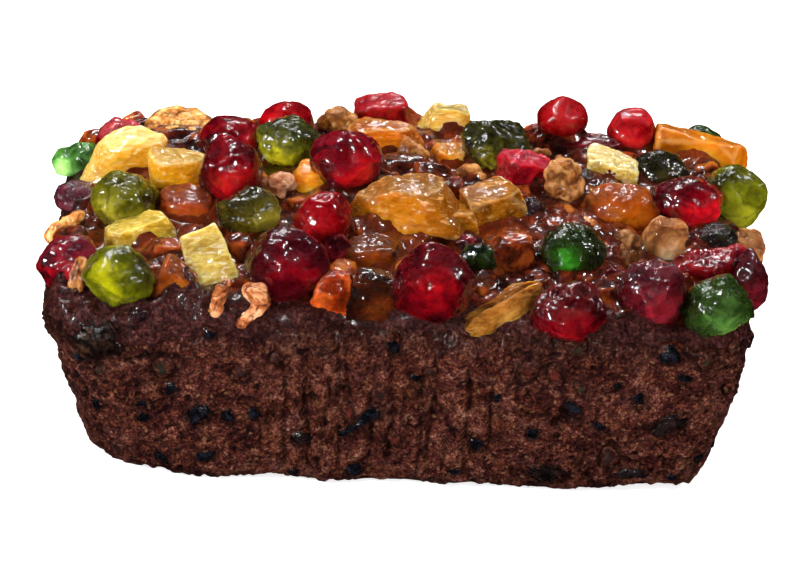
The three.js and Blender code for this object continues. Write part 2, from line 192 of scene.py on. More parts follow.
_box = {}
def boxgrid(nx, ny, nz):
    """surface of a cube -1..1 as shared-corner quads"""
    key = (nx, ny, nz)
    if key in _box:
        return _box[key]
    pts, quads, base = [], [], 0
    def face(na, nb, put):
        nonlocal base
        A, B = np.meshgrid(np.arange(na + 1), np.arange(nb + 1), indexing='ij')
        pts.append(put(A.ravel(), B.ravel()))
        idx = base + np.arange((na + 1) * (nb + 1)).reshape(na + 1, nb + 1)
        quads.append(np.stack([idx[:-1, :-1], idx[1:, :-1], idx[1:, 1:], idx[:-1, 1:]], -1).reshape(-1, 4))
        base += (na + 1) * (nb + 1)
    full = lambda v, like: np.full_like(like, v)
    face(nx, ny, lambda a, b: np.stack([a, b, full(nz, a)], 1))
    face(ny, nx, lambda a, b: np.stack([b, a, full(0, a)], 1))
    face(ny, nz, lambda a, b: np.stack([full(nx, a), a, b], 1))
    face(nz, ny, lambda a, b: np.stack([full(0, a), b, a], 1))
    face(nz, nx, lambda a, b: np.stack([b, full(ny, a), a], 1))
    face(nx, nz, lambda a, b: np.stack([a, full(0, a), b], 1))
    P = np.concatenate(pts)
    Q = np.concatenate(quads)
    U, inv = np.unique(P, axis=0, return_inverse=True)
    inv = inv.ravel()
    V = U / np.array([nx, ny, nz]) * 2.0 - 1.0
    _box[key] = (V, inv[Q])
    return _box[key]

# ----------------------------------------------- form rules, as in the solids
def wave(P, seed, freq):
    out = 0
    for k in range(3):
        az = 2 * math.pi * rnd(seed, k * 3 + 1)
        cz = 2 * rnd(seed, k * 3 + 2) - 1
        sz = math.sqrt(1 - cz * cz)
        along = P @ np.array([math.cos(az) * sz, math.sin(az) * sz, cz])
        out = out + np.sin(freq * along + 2 * math.pi * rnd(seed, k * 3 + 3))
    return out / 3

def unit(v):
    v = np.array(v[:3], float)
    return v / np.linalg.norm(v)

def bend_form(P, f):
    x, y, z = P[:, 0].copy(), P[:, 1].copy(), P[:, 2].copy()
    tx, tz = f.get("narrowX", 0), f.get("narrowZ", 0)
    y *= 1 - tx * x; z *= 1 - 0.6 * tx * x
    x *= 1 - tz * z; y *= 1 - tz * z
    z += f.get("arch", 0) * (x * x - 0.33)
    y += f.get("curve", 0) * (x * x - 0.33)
    x += f.get("lean", 0) * z
    x += f.get("curl", 0) * (z * z - 0.33)
    w = 1 - f.get("waist", 0) * np.exp(-((x - f.get("waistAt", 0)) ** 2) / 0.05)
    y *= w; z *= w
    P = np.stack([x, y, z], 1)
    if "cut" in f:
        n = unit(f["cut"])
        d = np.maximum(P @ n - f["cut"][3], 0)
        P = P - 0.9 * d[:, None] * n
    return P

def pnorm(n, p):
    return (np.abs(n) ** p).sum(1) ** (-1.0 / p)

def chunk(n, seed, p, q):
    """a cut block: tilted faces, a few corners sliced off, outline rounded by q"""
    return (planes(n, seed, q) ** (2 * p)).sum(1) ** (-0.5 / p)

def planes(n, seed, q):
    out = []
    tilt = 0.4 if q >= 5 else 0.3
    for i in range(6):
        if q < 5 and i < 4:
            continue
        m = np.array([(rnd(seed, 31 + 3 * i + j) - 0.5) * tilt for j in range(3)])
        m[i // 2] += 1 if i % 2 else -1
        out.append(np.maximum(n @ (m / np.linalg.norm(m)), 0))
    if q < 5:
        lean = (rnd(seed, 31) - 0.5) * 0.3
        x, y = n[:, 0] + lean * n[:, 1], n[:, 1]
        out.append((np.abs(x) ** q + np.abs(y) ** q) ** (1.0 / q))
    for i in range(4 if q >= 5 else 2):
        m = np.array([1.0 if rnd(seed, 51 + 4 * i + j) > 0.5 else -1.0 for j in range(3)])
        m = m + np.array([(rnd(seed, 71 + 4 * i + j) - 0.5) * 1.3 for j in range(3)])
        out.append(np.maximum(n @ (m / np.linalg.norm(m)), 0) / (1.36 + 0.26 * rnd(seed, 91 + i)))
    return np.stack(out, 1)

def facets(n, seed, count=15, p=9.0, spread=0.07):
    """shrunken fruit skin: soft flat areas that meet in blunt creases"""
    total = 0
    turn = rnd(seed, 5) * 6.28
    for i in range(count):
        z = 1 - 2 * (i + 0.5) / count
        a = turn + i * 2.39996
        m = np.array([math.cos(a) * math.sqrt(1 - z * z), math.sin(a) * math.sqrt(1 - z * z), z])
        m = m + np.array([(rnd(seed, 101 + 3 * i + j) - 0.5) * 0.5 for j in range(3)])
        m /= np.linalg.norm(m)
        total = total + (np.maximum(n @ m, 0) / (0.93 + spread * (rnd(seed, 161 + i) * 2 - 1))) ** (2 * p)
    return total ** (-0.5 / p)

def form_unit(form, n, f, seed):
    if form == 'cherry':
        r = 1 + 0.055 * wave(n, seed, 2.3) + 0.035 * wave(n, seed + 11, 5.1)
        d = unit(f.get("dimple", (rnd(seed, 21) - 0.5, rnd(seed, 22) - 0.9, 0.35 + 0.6 * rnd(seed, 23))))
        c = n @ d
        r = r - 0.13 * np.exp(-(1 - c) / 0.05)
        r = r + f.get("tip", 0) * np.exp(-(1 - n[:, 2]) / 0.12)
        return bend_form(n * r[:, None], f)
    if form == 'block':
        return bend_form(n * chunk(n, seed, 1.3 * f.get("p", 7), f.get("q", 9))[:, None] * (1 + 0.04 * wave(n, seed, 2.9))[:, None], f)
    if form == 'walnut':
        fold = 1 - np.abs(wave(n, seed, 6.5)) * 1.6
        r = 0.93 + 0.12 * fold + 0.05 * wave(n, seed + 5, 3)
        r = r - 0.2 * np.exp(-(n[:, 1] ** 2) / 0.03) * np.clip(n[:, 2] + 0.3, 0, 1)
        return bend_form(n * r[:, None], f)
    if form == 'raisin':
        a = np.arctan2(n[:, 2], n[:, 1])
        side = np.hypot(n[:, 1], n[:, 2])
        r = 0.97 + 0.07 * side * np.sin(5 * a + 3 * n[:, 0] + 6 * rnd(seed, 1)) + 0.05 * wave(n, seed, 4.5)
        return bend_form(n * r[:, None], f)
    if form == 'sliver':
        P = n * pnorm(n, 5.0)[:, None]
        x, y, z = P[:, 0], P[:, 1], P[:, 2]
        slim = 1 - 0.25 * x * x - 0.12 * x + 0.1 * np.sin(5 * x)
        groove = 0.14 * np.cos(7 * y + 2 * rnd(seed, 2)) * np.clip(z, 0, 1)
        return bend_form(np.stack([x, y * slim, z * slim - groove], 1), f)

def turn_matrix(turn):
    a, b, c = [math.radians(t) for t in turn]
    Rz = np.array([[math.cos(a), -math.sin(a), 0], [math.sin(a), math.cos(a), 0], [0, 0, 1]])
    Rx = np.array([[1, 0, 0], [0, math.cos(b), -math.sin(b)], [0, math.sin(b), math.cos(b)]])
    Ry = np.array([[math.cos(c), 0, math.sin(c)], [0, 1, 0], [-math.sin(c), 0, math.cos(c)]])
    return Rz @ Rx @ Ry

def ridged(P, size, seed):
    return 1 - np.abs(vnoise(turned(P, seed), size, seed)) * 2

def fruit(form, at, size, turn, shape, seed, fine=0.6, skin='cherry', rough=1.0):
    """fine surface of one topping: vertices (mm, in place), faces, and painted shade for its creases and pits, below
    zero along block edges for a painted highlight
    """
    half = np.array(size) / 2.0
    edge = None
    if form in ('block', 'sliver'):
        steps = [max(4, int(round(s / fine))) for s in size]
        V, F = boxgrid(*steps)
        n = V / np.linalg.norm(V, axis=1, keepdims=True)
    else:
        level = 5 if fine < 0.5 else 4
        if max(size) < 8:
            level -= 1
        n, F = ico(level)
    L = form_unit(form, n, shape, seed) * half
    if form == 'cherry':
        L = L * (0.35 + 0.65 * facets(n, seed, 17 if skin == 'cherry' else 12))[:, None]
    if form in ('block', 'sliver'):
        # edges soften and wander a little
        bend = min(1.0, min(size) / 9.0) * shape.get("wander", 0.8)
        L = L + 1.3 * bend * np.stack([vnoise(L + 29.0 * seed + 17 * k, 10.0, seed + 26 + k) for k in range(3)], 1) \
            + 0.7 * bend * np.stack([vnoise(L + 29.0 * seed + 17 * k, 5.5, seed + 20 + k) for k in range(3)], 1) \
            + 0.3 * bend * np.stack([vnoise(L + 29.0 * seed + 17 * k, 2.2, seed + 23 + k) for k in range(3)], 1)
        pl = np.sort(planes(n, seed, shape.get("q", 9)), 1)
        edge = smooth(0.84, 0.985, pl[:, -2] / pl[:, -1])
    N = normals_of(L, F)
    off = L + 37.0 * seed
    if skin == 'cherry':
        # sticky sugared skin: soft dents, sharper creases, fine pimples
        warp = off + 0.9 * np.stack([vnoise(off + 11 * k, 3.0, seed + k) for k in range(3)], 1)
        crease = smooth(0.45, 1.0, ridged(warp, 3.6, seed))
        pit = smooth(0.55, 0.95, vnoise(turned(off, 9), 2.6, seed + 7))
        d = 0.30 * vnoise(off, 4.2, seed + 5) + 0.17 * vnoise(turned(off, 3), 1.8, seed + 6) \
            - 0.42 * crease - 0.3 * pit + 0.07 * vnoise(off, 0.9, seed + 8)
        painted_shade = np.maximum(crease, 0.6 * pit)
    elif skin == 'wrinkled':
        warp = off + 1.1 * np.stack([vnoise(off + 11 * k, 2.6, seed + k) for k in range(3)], 1)
        r1 = ridged(warp, 2.6, seed)
        r2 = ridged(warp, 1.4, seed + 3)
        d = 0.40 * r1 + 0.24 * r2 - 0.25 + 0.4 * vnoise(off, 4.5, seed + 5) + 0.1 * ridged(warp, 0.8, seed + 6)
        painted_shade = smooth(0.2, -0.8, r1)
    elif skin == 'gel':
        # cut candied fruit: flat faces, slightly melted, with pulp marks
        fold = smooth(0.6, 1.0, ridged(off + 0.8 * vnoise(off, 2.0, seed)[:, None], 3.4, seed))
        grain = vnoise(off * np.array([0.3, 1.0, 0.8]), 1.1, seed + 12)
        d = 0.28 * vnoise(off, 5.0, seed + 5) + 0.16 * vnoise(off, 1.8, seed + 6) + 0.26 * fold \
            + 0.13 * grain + 0.06 * vnoise(off, 0.8, seed + 9)
        painted_shade = np.maximum(smooth(0.1, -0.9, vnoise(off, 1.8, seed + 6)), 0.6 * smooth(0.2, -0.8, grain))
    elif skin == 'fibre':
        # pineapple: fibres fan out along the piece
        stretch = off * np.array([0.28, 1.0, 1.0])
        fib = vnoise(stretch, 0.75, seed)
        d = 0.2 * fib + 0.32 * vnoise(off, 4.0, seed + 5) + 0.16 * vnoise(off, 1.6, seed + 6)
        painted_shade = smooth(0.2, -0.8, fib)
    elif skin == 'nut':
        warp = off + 0.8 * np.stack([vnoise(off + 11 * k, 2.2, seed + k) for k in range(3)], 1)
        r1 = ridged(warp, 2.7, seed)
        r2 = ridged(warp, 1.3, seed + 3)
        r1, r2 = 1 - r1, 1 - r2         # round lobes, sharp valleys
        d = 0.75 * np.minimum(r1, 1.1) + 0.16 * np.minimum(r2, 1.1) - 0.6 + 0.4 * vnoise(off, 3.6, seed + 5) \
            + 0.07 * vnoise(off, 0.9, seed + 8)
        painted_shade = np.maximum(smooth(0.42, 0.05, r1), 0.5 * smooth(0.3, 0.0, r2))
    elif skin == 'raisin':
        warp = off + 0.8 * np.stack([vnoise(off + 11 * k, 2.2, seed + k) for k in range(3)], 1)
        r1 = ridged(warp * np.array([0.6, 1, 1]), 1.9, seed)
        d = 0.42 * r1 - 0.15 + 0.12 * ridged(warp, 0.9, seed + 3)
        painted_shade = smooth(0.3, -0.7, r1)
    elif skin == 'sugar':
        f1, f2, who = cells(off, 1.5, seed)
        d = 0.55 * smooth(0.9, 0.1, f1) + 0.3 * vnoise(off, 3.5, seed + 5)
        painted_shade = smooth(0.3, 1.0, f1)
    # small pieces get smaller marks
    d = d * rough * min(1.0, min(size) / 9.0)
    L = L + N * d[:, None]
    W = L @ turn_matrix(turn).T + np.array(at)
    if edge is not None:
        # painted highlight: along block edges the shade value goes below zero, which paints the edges lighter
        painted_shade = painted_shade * (1 - 0.7 * edge) - edge      # below zero along the edges
    return W, F, painted_shade

# bent tubes of each walnut piece: x, y, z in half sizes and radius
FOLDS = {
    'walnut_01': [[(-.75, -.35, -.1, .36), (-.85, .2, .1, .34), (-.5, .7, .3, .36), (0, .8, .45, .34), (.5, .7, .35, .36),
                   (.85, .2, .1, .33), (.7, -.4, -.05, .34), (.25, -.7, 0, .36), (-.3, -.72, .05, .36)],
                  [(-.45, 0, .15, .32), (0, .15, .25, .36), (.45, .05, .15, .3)], [(-.1, -.1, -.5, .6), (.3, 0, -.5, .5)]],
    'walnut_02': [[(-.75, -.5, -.5, .4), (-.5, -.6, .0, .42), (-.1, -.5, .35, .4), (.35, -.4, .6, .36), (.75, -.2, .75, .28)],
                  [(.1, -.5, -.2, .5), (.2, 0, -.3, .6)]],
    'walnut_03': [[(-.65, -.4, -.2, .5), (-.2, -.5, .35, .5), (.35, -.4, .5, .45), (.7, -.3, .1, .36)],
                  [(.2, -.5, -.4, .45), (-.2, 0, -.2, .6)]],
    'walnut_04': [[(-.7, -.3, -.1, .42), (-.35, -.35, .4, .42), (.15, -.35, .55, .4), (.6, -.3, .2, .42)],
                  [(-.1, -.6, -.2, .45), (.4, -.6, -.3, .4)], [(0, .3, 0, .55)]],
    'walnut_05': [[(-.6, -.2, .35, .36), (-.4, -.2, .78, .36), (.05, -.2, .85, .38), (.4, -.2, .6, .34), (.3, -.2, .25, .3)],
                  [(-.6, -.4, -.1, .36), (-.35, -.5, -.5, .46), (.15, -.5, -.6, .46), (.55, -.4, -.3, .4), (.75, -.2, 0, .3)],
                  [(-.1, .1, .1, .55), (.1, .2, -.2, .55)]],
    'walnut_06': [[(.05, -.3, .75, .42), (.5, -.3, .8, .46), (.78, -.35, .4, .42), (.6, -.45, 0, .4), (.3, -.5, -.4, .34),
                   (.1, -.55, -.8, .28)],
                  [(-1.18, -.1, .75, .3), (-1.32, -.3, .35, .34), (-1.36, -.4, -.1, .32), (-1.28, -.45, -.65, .3)], [(.35, .3, .2, .55)]],
    'walnut_07': [[(-.35, -.3, .85, .32), (.1, -.35, .85, .38), (.5, -.4, .5, .42), (.6, -.4, .05, .42), (.35, -.4, -.35, .42),
                   (-.1, -.4, -.6, .42), (-.55, -.4, -.8, .36)], [(.2, .2, 0, .5)]],
}

def shell(V, F, voxel):
    """one closed skin round overlapping closed shapes (mm)"""
    me = bpy.data.meshes.new("tmp_shell")
    me.from_pydata(V.tolist(), [], F.tolist())
    ob = bpy.data.objects.new("tmp_shell", me)
    bpy.context.scene.collection.objects.link(ob)
    mod = ob.modifiers.new("skin", 'REMESH')
    mod.mode = 'VOXEL'
    mod.voxel_size = voxel
    got = ob.evaluated_get(bpy.context.evaluated_depsgraph_get()).to_mesh()
    out = np.empty(len(got.vertices) * 3, np.float32)
    got.vertices.foreach_get("co", out)
    quads = np.array([p.vertices[:] for p in got.polygons if len(p.vertices) == 4])
    out = out.reshape(-1, 3).astype(float)
    bpy.data.objects.remove(ob)
    bpy.data.meshes.remove(me)
    return out, quads

def relaxed(V, F, times, k=0.5):
    """the surface smoothed towards its neighbours"""
    n = F.shape[1]
    a = np.concatenate([F[:, i] for i in range(n)])
    b = np.concatenate([F[:, (i + 1) % n] for i in range(n)])
    count = np.bincount(a, minlength=len(V)) + np.bincount(b, minlength=len(V))
    count = np.maximum(count, 1)[:, None]
    for _ in range(times):
        S = np.stack([np.bincount(a, V[b, c], len(V)) + np.bincount(b, V[a, c], len(V)) for c in range(3)], 1) / count
        V = V + k * (S - V)
    return V

def walnut(name, at, size, turn, seed, voxel=0.5):
    """a piece of walnut kernel: bent, lobed folds grown together"""
    half = np.array(size) / 2.0
    mean = half.mean()
    tubes = FOLDS.get(name)
    if tubes is None:
        R = lambda k: rnd(seed, k)
        tubes = [[(-.7 + .3 * R(1), .8 * R(2) - .4, .6 * R(3) - .3, .42), (-.2, .8 * R(4) - .4, .3 + .3 * R(5), .45),
                  (.3, .8 * R(6) - .4, .3 * R(7), .45), (.7 - .2 * R(8), .8 * R(9) - .4, .5 * R(10) - .4, .38)],
                 [(.3 * R(11), .3 * R(12), -.4, .5)]]
    S, F = ico(2)
    V, FF = [], []
    for t, tube in enumerate(tubes):
        T = np.array(tube)
        steps = max(1, 3 * (len(T) - 1) + 1)
        u = np.linspace(0, len(T) - 1, steps) if len(T) > 1 else np.zeros(1)
        for j, q in enumerate(u):
            i = min(int(q), len(T) - 2) if len(T) > 1 else 0
            w = q - i
            node = T[i] * (1 - w) + T[i + 1] * w if len(T) > 1 else T[0]
            # knobbly: the tube swells and thins along its length
            r = node[3] * mean * (1.0 + 0.16 * math.sin(2.6 * q * 2.4 + seed + t) + 0.12 * (rnd(seed, 40 + 7 * t + j) - 0.5))
            V.append(node[:3] * half + S * r * np.array([1.0, 1.0, 1.0]))
            FF.append(F + sum(len(v) for v in V[:-1]))
    V, Q = shell(np.concatenate(V), np.concatenate(FF), voxel)
    V = relaxed(V, Q, 4)
    off = V + 31.0 * seed
    N = normals_of(V, Q)
    warp = off + 0.8 * np.stack([vnoise(off + 11 * k, 2.2, seed + k) for k in range(3)], 1)
    fold = np.abs(vnoise(turned(warp, seed), 3.5, seed))
    small = np.abs(vnoise(turned(warp, seed + 3), 1.3, seed + 3))
    d = 0.6 * np.minimum(fold, 0.5) - 0.38 * smooth(0.1, 0.0, fold) + 0.10 * np.minimum(small, 0.4) - 0.14 \
        + 0.3 * vnoise(off, 3.4, seed + 5) + 0.05 * vnoise(off, 0.8, seed + 8)
    V = V + N * (d * min(1.0, min(size) / 8.0))[:, None]
    # painted shade: how deep each point lies in a valley darkens it
    deep = ((relaxed(V, Q, 8) - V) * normals_of(V, Q)).sum(1)
    return V @ turn_matrix(turn).T + np.array(at), Q, smooth(0.03, 0.3, deep)

def join(parts):
    """several (V, F, hollow) into one"""
    V, F3, F4, H, base = [], [], [], [], 0
    for v, f, h in parts:
        V.append(v); H.append(h)
        (F3 if f.shape[1] == 3 else F4).append(f + base)
        base += len(v)
    faces = []
    if F3: faces.append(np.concatenate(F3))
    if F4: faces.append(np.concatenate(F4))
    return np.concatenate(V), faces, np.concatenate(H)

# --------------------------------------------------------------- materials
def col(hexa):
    v = [int(hexa[i:i + 2], 16) / 255.0 for i in (1, 3, 5)]
    return tuple((c / 12.92 if c <= 0.04045 else ((c + 0.055) / 1.055) ** 2.4) for c in v) + (1.0,)

class Mat:
    """a small node graph builder; sizes are in mm"""
    def __init__(self, name):
        self.m = bpy.data.materials.new(name)
        self.m.use_nodes = True
        self.t = self.m.node_tree
        self.t.nodes.clear()
        self.out = self.t.nodes.new('ShaderNodeOutputMaterial')
        self.p = self.t.nodes.new('ShaderNodeBsdfPrincipled')
        self.t.links.new(self.p.outputs[0], self.out.inputs[0])
        self.obj = self.t.nodes.new('ShaderNodeTexCoord').outputs['Object']

    def link(self, a, b):
        self.t.links.new(a, b)

    def shifted(self, vec):
        n = self.t.nodes.new('ShaderNodeVectorMath')
        n.operation = 'ADD'
        self.link(self.obj, n.inputs[0])
        n.inputs[1].default_value = vec
        return n.outputs[0]

    def stretched(self, src, scale, rot=(0, 0, 0)):
        n = self.t.nodes.new('ShaderNodeMapping')
        self.link(src, n.inputs['Vector'])
        n.inputs['Scale'].default_value = scale
        n.inputs['Rotation'].default_value = rot
        return n.outputs[0]

    def noise(self, size, detail=2.0, rough=0.5, distort=0.0, vec=None):
        n = self.t.nodes.new('ShaderNodeTexNoise')
        self.link(vec if vec is not None else self.obj, n.inputs['Vector'])
        n.inputs['Scale'].default_value = 1000.0 / size
        n.inputs['Detail'].default_value = detail
        n.inputs['Roughness'].default_value = rough
        n.inputs['Distortion'].default_value = distort
        return n.outputs['Fac']

    def voronoi(self, size, vec=None, feature='F1', out='Distance', rand=1.0):
        n = self.t.nodes.new('ShaderNodeTexVoronoi')
        n.feature = feature
        self.link(vec if vec is not None else self.obj, n.inputs['Vector'])
        n.inputs['Scale'].default_value = 1000.0 / size
        n.inputs['Randomness'].default_value = rand
        return n.outputs[out]

    def math(self, op, a, b=0.0, clamp=False):
        n = self.t.nodes.new('ShaderNodeMath')
        n.operation = op
        n.use_clamp = clamp
        for k, v in enumerate((a, b)):
            if isinstance(v, (int, float)):
                n.inputs[k].default_value = v
            else:
                self.link(v, n.inputs[k])
        return n.outputs[0]

    def range(self, v, a, b, c=0.0, d=1.0, soft=True):
        n = self.t.nodes.new('ShaderNodeMapRange')
        if soft:
            n.interpolation_type = 'SMOOTHSTEP'
        self.link(v, n.inputs[0])
        for k, x in zip((1, 2, 3, 4), (a, b, c, d)):
            n.inputs[k].default_value = x
        return n.outputs[0]

    def ramp(self, fac, stops):
        n = self.t.nodes.new('ShaderNodeValToRGB')
        r = n.color_ramp
        while len(r.elements) < len(stops):
            r.elements.new(0.5)
        for e, (pos, c) in zip(r.elements, stops):
            e.position = pos
            e.color = c if not isinstance(c, str) else col(c)
        self.link(fac, n.inputs[0])
        return n.outputs[0]

    def mix(self, fac, a, b, mode='MIX'):
        n = self.t.nodes.new('ShaderNodeMix')
        n.data_type = 'RGBA'
        n.blend_type = mode
        n.clamp_factor = True
        for sock, v in ((n.inputs[0], fac), (n.inputs[6], a), (n.inputs[7], b)):
            if isinstance(v, str):
                sock.default_value = col(v)
            elif isinstance(v, (int, float, tuple)):
                sock.default_value = v
            else:
                self.link(v, sock)
        return n.outputs[2]

    def attr(self, name):
        n = self.t.nodes.new('ShaderNodeAttribute')
        n.attribute_name = name
        return n.outputs['Fac']

    def up(self):
        g = self.t.nodes.new('ShaderNodeNewGeometry')
        s = self.t.nodes.new('ShaderNodeSeparateXYZ')
        self.link(g.outputs['Normal'], s.inputs[0])
        return s.outputs[2]

    def xyz(self, src=None):
        s = self.t.nodes.new('ShaderNodeSeparateXYZ')
        self.link(src if src is not None else self.obj, s.inputs[0])
        return s.outputs

    def bump(self, layers):
        """layers: (height socket, depth in mm, strength)"""
        prev = None
        for h, depth, strength in layers:
            n = self.t.nodes.new('ShaderNodeBump')
            n.inputs['Strength'].default_value = strength
            n.inputs['Distance'].default_value = depth * 0.001
            self.link(h, n.inputs['Height'])
            if prev is not None:
                self.link(prev, n.inputs['Normal'])
            prev = n.outputs[0]
        return prev

    def set(self, **kw):
        names = dict(rough='Roughness', coat='Coat Weight', coat_rough='Coat Roughness', coat_ior='Coat IOR',
                     sss='Subsurface Weight', sss_scale='Subsurface Scale', sss_radius='Subsurface Radius',
                     spec='Specular IOR Level', ior='IOR', color='Base Color', normal='Normal',
                     coat_normal='Coat Normal', coat_tint='Coat Tint', sheen='Sheen Weight', trans='Transmission Weight')
        for k, v in kw.items():
            s = self.p.inputs[names[k]]
            if isinstance(v, (int, float, tuple)):
                s.default_value = v
            elif isinstance(v, str):
                s.default_value = col(v)
            else:
                self.link(v, s)


def candied(name, dark, mid, lite, painted_glow=(0.1, -0.85, -0.1), painted_glow_r=1.0, size=(18, 17, 16), seed=0, top=None,
            painted_top_shading=0.8, patch=5.0, sss=1.0, radius=(1.0, 0.2, 0.12), scale=6.0, rough=0.3, coat=1.0,
            coat_rough=0.035, bump=1.0, fibre=False, gain=0.6, painted_shade='#000000', painted_shade_amount=0.35, trans=0.0, film=0.2, speck=0.16, dim=1.0, rim=0.12, edge=None,
            streak=None):
    """translucent sugared fruit: painted shade towards the outside, a painted glow where light through the fruit would
    gather
    """
    dark, mid, lite, top = [c and tuple(min(1.0, v * dim) for v in col(c)[:3]) + (1.0,) for c in (dark, mid, lite, top)]
    m = Mat(name)
    o = m.shifted((0.013 * seed, 0.007 * seed, 0.003 * seed))
    big = m.noise(patch, 2.0, 0.5, 0.6, o)
    fine = m.noise(1.1, 2.0, 0.6, 0.0, o)
    # painted glow, light through the fruit painted into its colour: distance from a point on the piece, the same on
    # front and back
    s = m.xyz()
    ay = m.math('ABSOLUTE', s[1])
    v = m.t.nodes.new('ShaderNodeCombineXYZ')
    m.link(s[0], v.inputs[0]); m.link(ay, v.inputs[1]); m.link(s[2], v.inputs[2])
    dvec = m.t.nodes.new('ShaderNodeVectorMath')
    dvec.operation = 'DISTANCE'
    m.link(v.outputs[0], dvec.inputs[0])
    half = [c * 0.0005 for c in size]
    dvec.inputs[1].default_value = (painted_glow[0] * half[0], abs(painted_glow[1]) * half[1], painted_glow[2] * half[2])
    r = sum(half) / 3 * painted_glow_r
    g = m.range(dvec.outputs['Value'], 0.15 * r, 1.25 * r, 1.0, 0.0)
    fac = m.math('ADD', m.math('MULTIPLY', g, gain), m.math('MULTIPLY', m.range(big, 0.3, 0.72), 1.0 - gain))
    fac = m.math('ADD', fac, m.math('MULTIPLY', m.math('SUBTRACT', fine, 0.5), speck), clamp=True)
    c = m.ramp(fac, [(0.0, dark), (0.5, mid), (1.0, lite)])
    if fibre:
        f = m.noise(0.9, 3.0, 0.6, 0.4, m.stretched(o, (0.22, 1.0, 1.0), (0, 0, 0.3 * seed)))
        c = m.mix(m.range(f, 0.4, 0.75, 0.0, 0.55), c, lite)
    # painted top shading: faces turned upwards are mixed towards the top colour, lighter or darker as the light falls
    # on them
    if top:
        t = m.range(m.math('ADD', m.up(), m.math('MULTIPLY', m.math('SUBTRACT', big, 0.5), 0.9)), 0.3, 1.0,
                    0.0, painted_top_shading)
        c = m.mix(t, c, top)
    if streak:
        # pale fibres and deeper veins in the flesh
        vein = m.noise(0.85, 3.0, 0.62, 0.5, m.stretched(o, (0.2, 1.0, 0.8), (0.3, 0.2, 0.4 + 0.3 * seed)))
        pale, deep = [tuple(v * dim for v in col(h)[:3]) + (1.0,) for h in streak]
        c = m.mix(m.range(vein, 0.54, 0.68, 0.0, 0.65), c, pale)
        c = m.mix(m.range(vein, 0.34, 0.46, 0.55, 0.0), c, deep)
    # painted shade in creases and pits
    hv = m.attr('painted_shade')
    painted_shade_mix = m.math('MULTIPLY', m.math('MAXIMUM', hv, 0.0), painted_shade_amount)
    c = m.mix(painted_shade_mix, c, painted_shade if painted_shade != '#000000' else dark)
    # painted highlight along cut edges, where the shade value is below zero
    c = m.mix(m.math('MULTIPLY', m.math('MULTIPLY', hv, -1.0, clamp=True), rim), c, edge or lite)
    # smooth skin in places, finely crinkled in others
    zone = m.range(m.noise(4.2, 1.0, 0.5, 0.0, m.shifted((0.9 + 0.01 * seed, 0.2, 0.4))), 0.45, 0.66, 0.12, 1.0)
    h1 = m.math('MULTIPLY', m.noise(1.7, 2.0, 0.5, 0.6, o), zone)
    h2 = m.math('MULTIPLY', m.noise(0.5, 2.0, 0.6, 0.0, o), zone)
    # the dried film puckers in thin creases
    w = m.t.nodes.new('ShaderNodeVectorMath')
    w.operation = 'MULTIPLY_ADD'
    n3 = m.t.nodes.new('ShaderNodeTexNoise')
    m.link(o, n3.inputs['Vector'])
    n3.inputs['Scale'].default_value = 1000.0 / 2.6
    m.link(n3.outputs['Color'], w.inputs[0])
    w.inputs[1].default_value = (0.0025, 0.0025, 0.0025)
    m.link(o, w.inputs[2])
    crease = m.range(m.voronoi(3.4, w.outputs[0], 'DISTANCE_TO_EDGE'), 0.0, 0.16)
    b = m.bump([(crease, 0.3, film * bump), (h1, 0.45, 0.4 * bump), (h2, 0.13, 0.7 * bump)])
    m.set(color=c, rough=m.range(fine, 0.3, 0.7, rough * 0.7, rough * 1.4), coat=coat, coat_rough=coat_rough,
          coat_ior=1.45, sss=sss, sss_scale=scale * 0.001, sss_radius=radius, normal=b, coat_normal=b, ior=1.45,
          spec=0.15, trans=trans)
    return m.m


def nutty(name, dark, mid, lite, seed=0, coat=0.7, rough=0.42):
    m = Mat(name)
    o = m.shifted((0.017 * seed, 0.005 * seed, 0.011 * seed))
    big = m.noise(4.0, 3.0, 0.6, 0.8, o)
    fine = m.noise(0.8, 3.0, 0.6, 0.0, o)
    fac = m.math('ADD', m.math('MULTIPLY', m.range(big, 0.3, 0.7), 0.75), m.math('MULTIPLY', fine, 0.3), clamp=True)
    c = m.ramp(fac, [(0.1, dark), (0.5, mid), (0.95, lite)])
    # painted shade in the valleys of the kernel
    c = m.mix(m.math('MULTIPLY', m.attr('painted_shade'), 0.85), c, dark)
    b = m.bump([(m.noise(1.3, 3.0, 0.6, 0.5, o), 0.4, 0.7), (fine, 0.12, 0.6)])
    m.set(color=c, rough=m.range(fine, 0.3, 0.7, rough * 0.6, rough * 1.3), coat=coat, coat_rough=0.07,
          sss=0.35, sss_scale=0.002, sss_radius=(1.0, 0.5, 0.25), normal=b, coat_normal=b, spec=0.2)
    return m.m


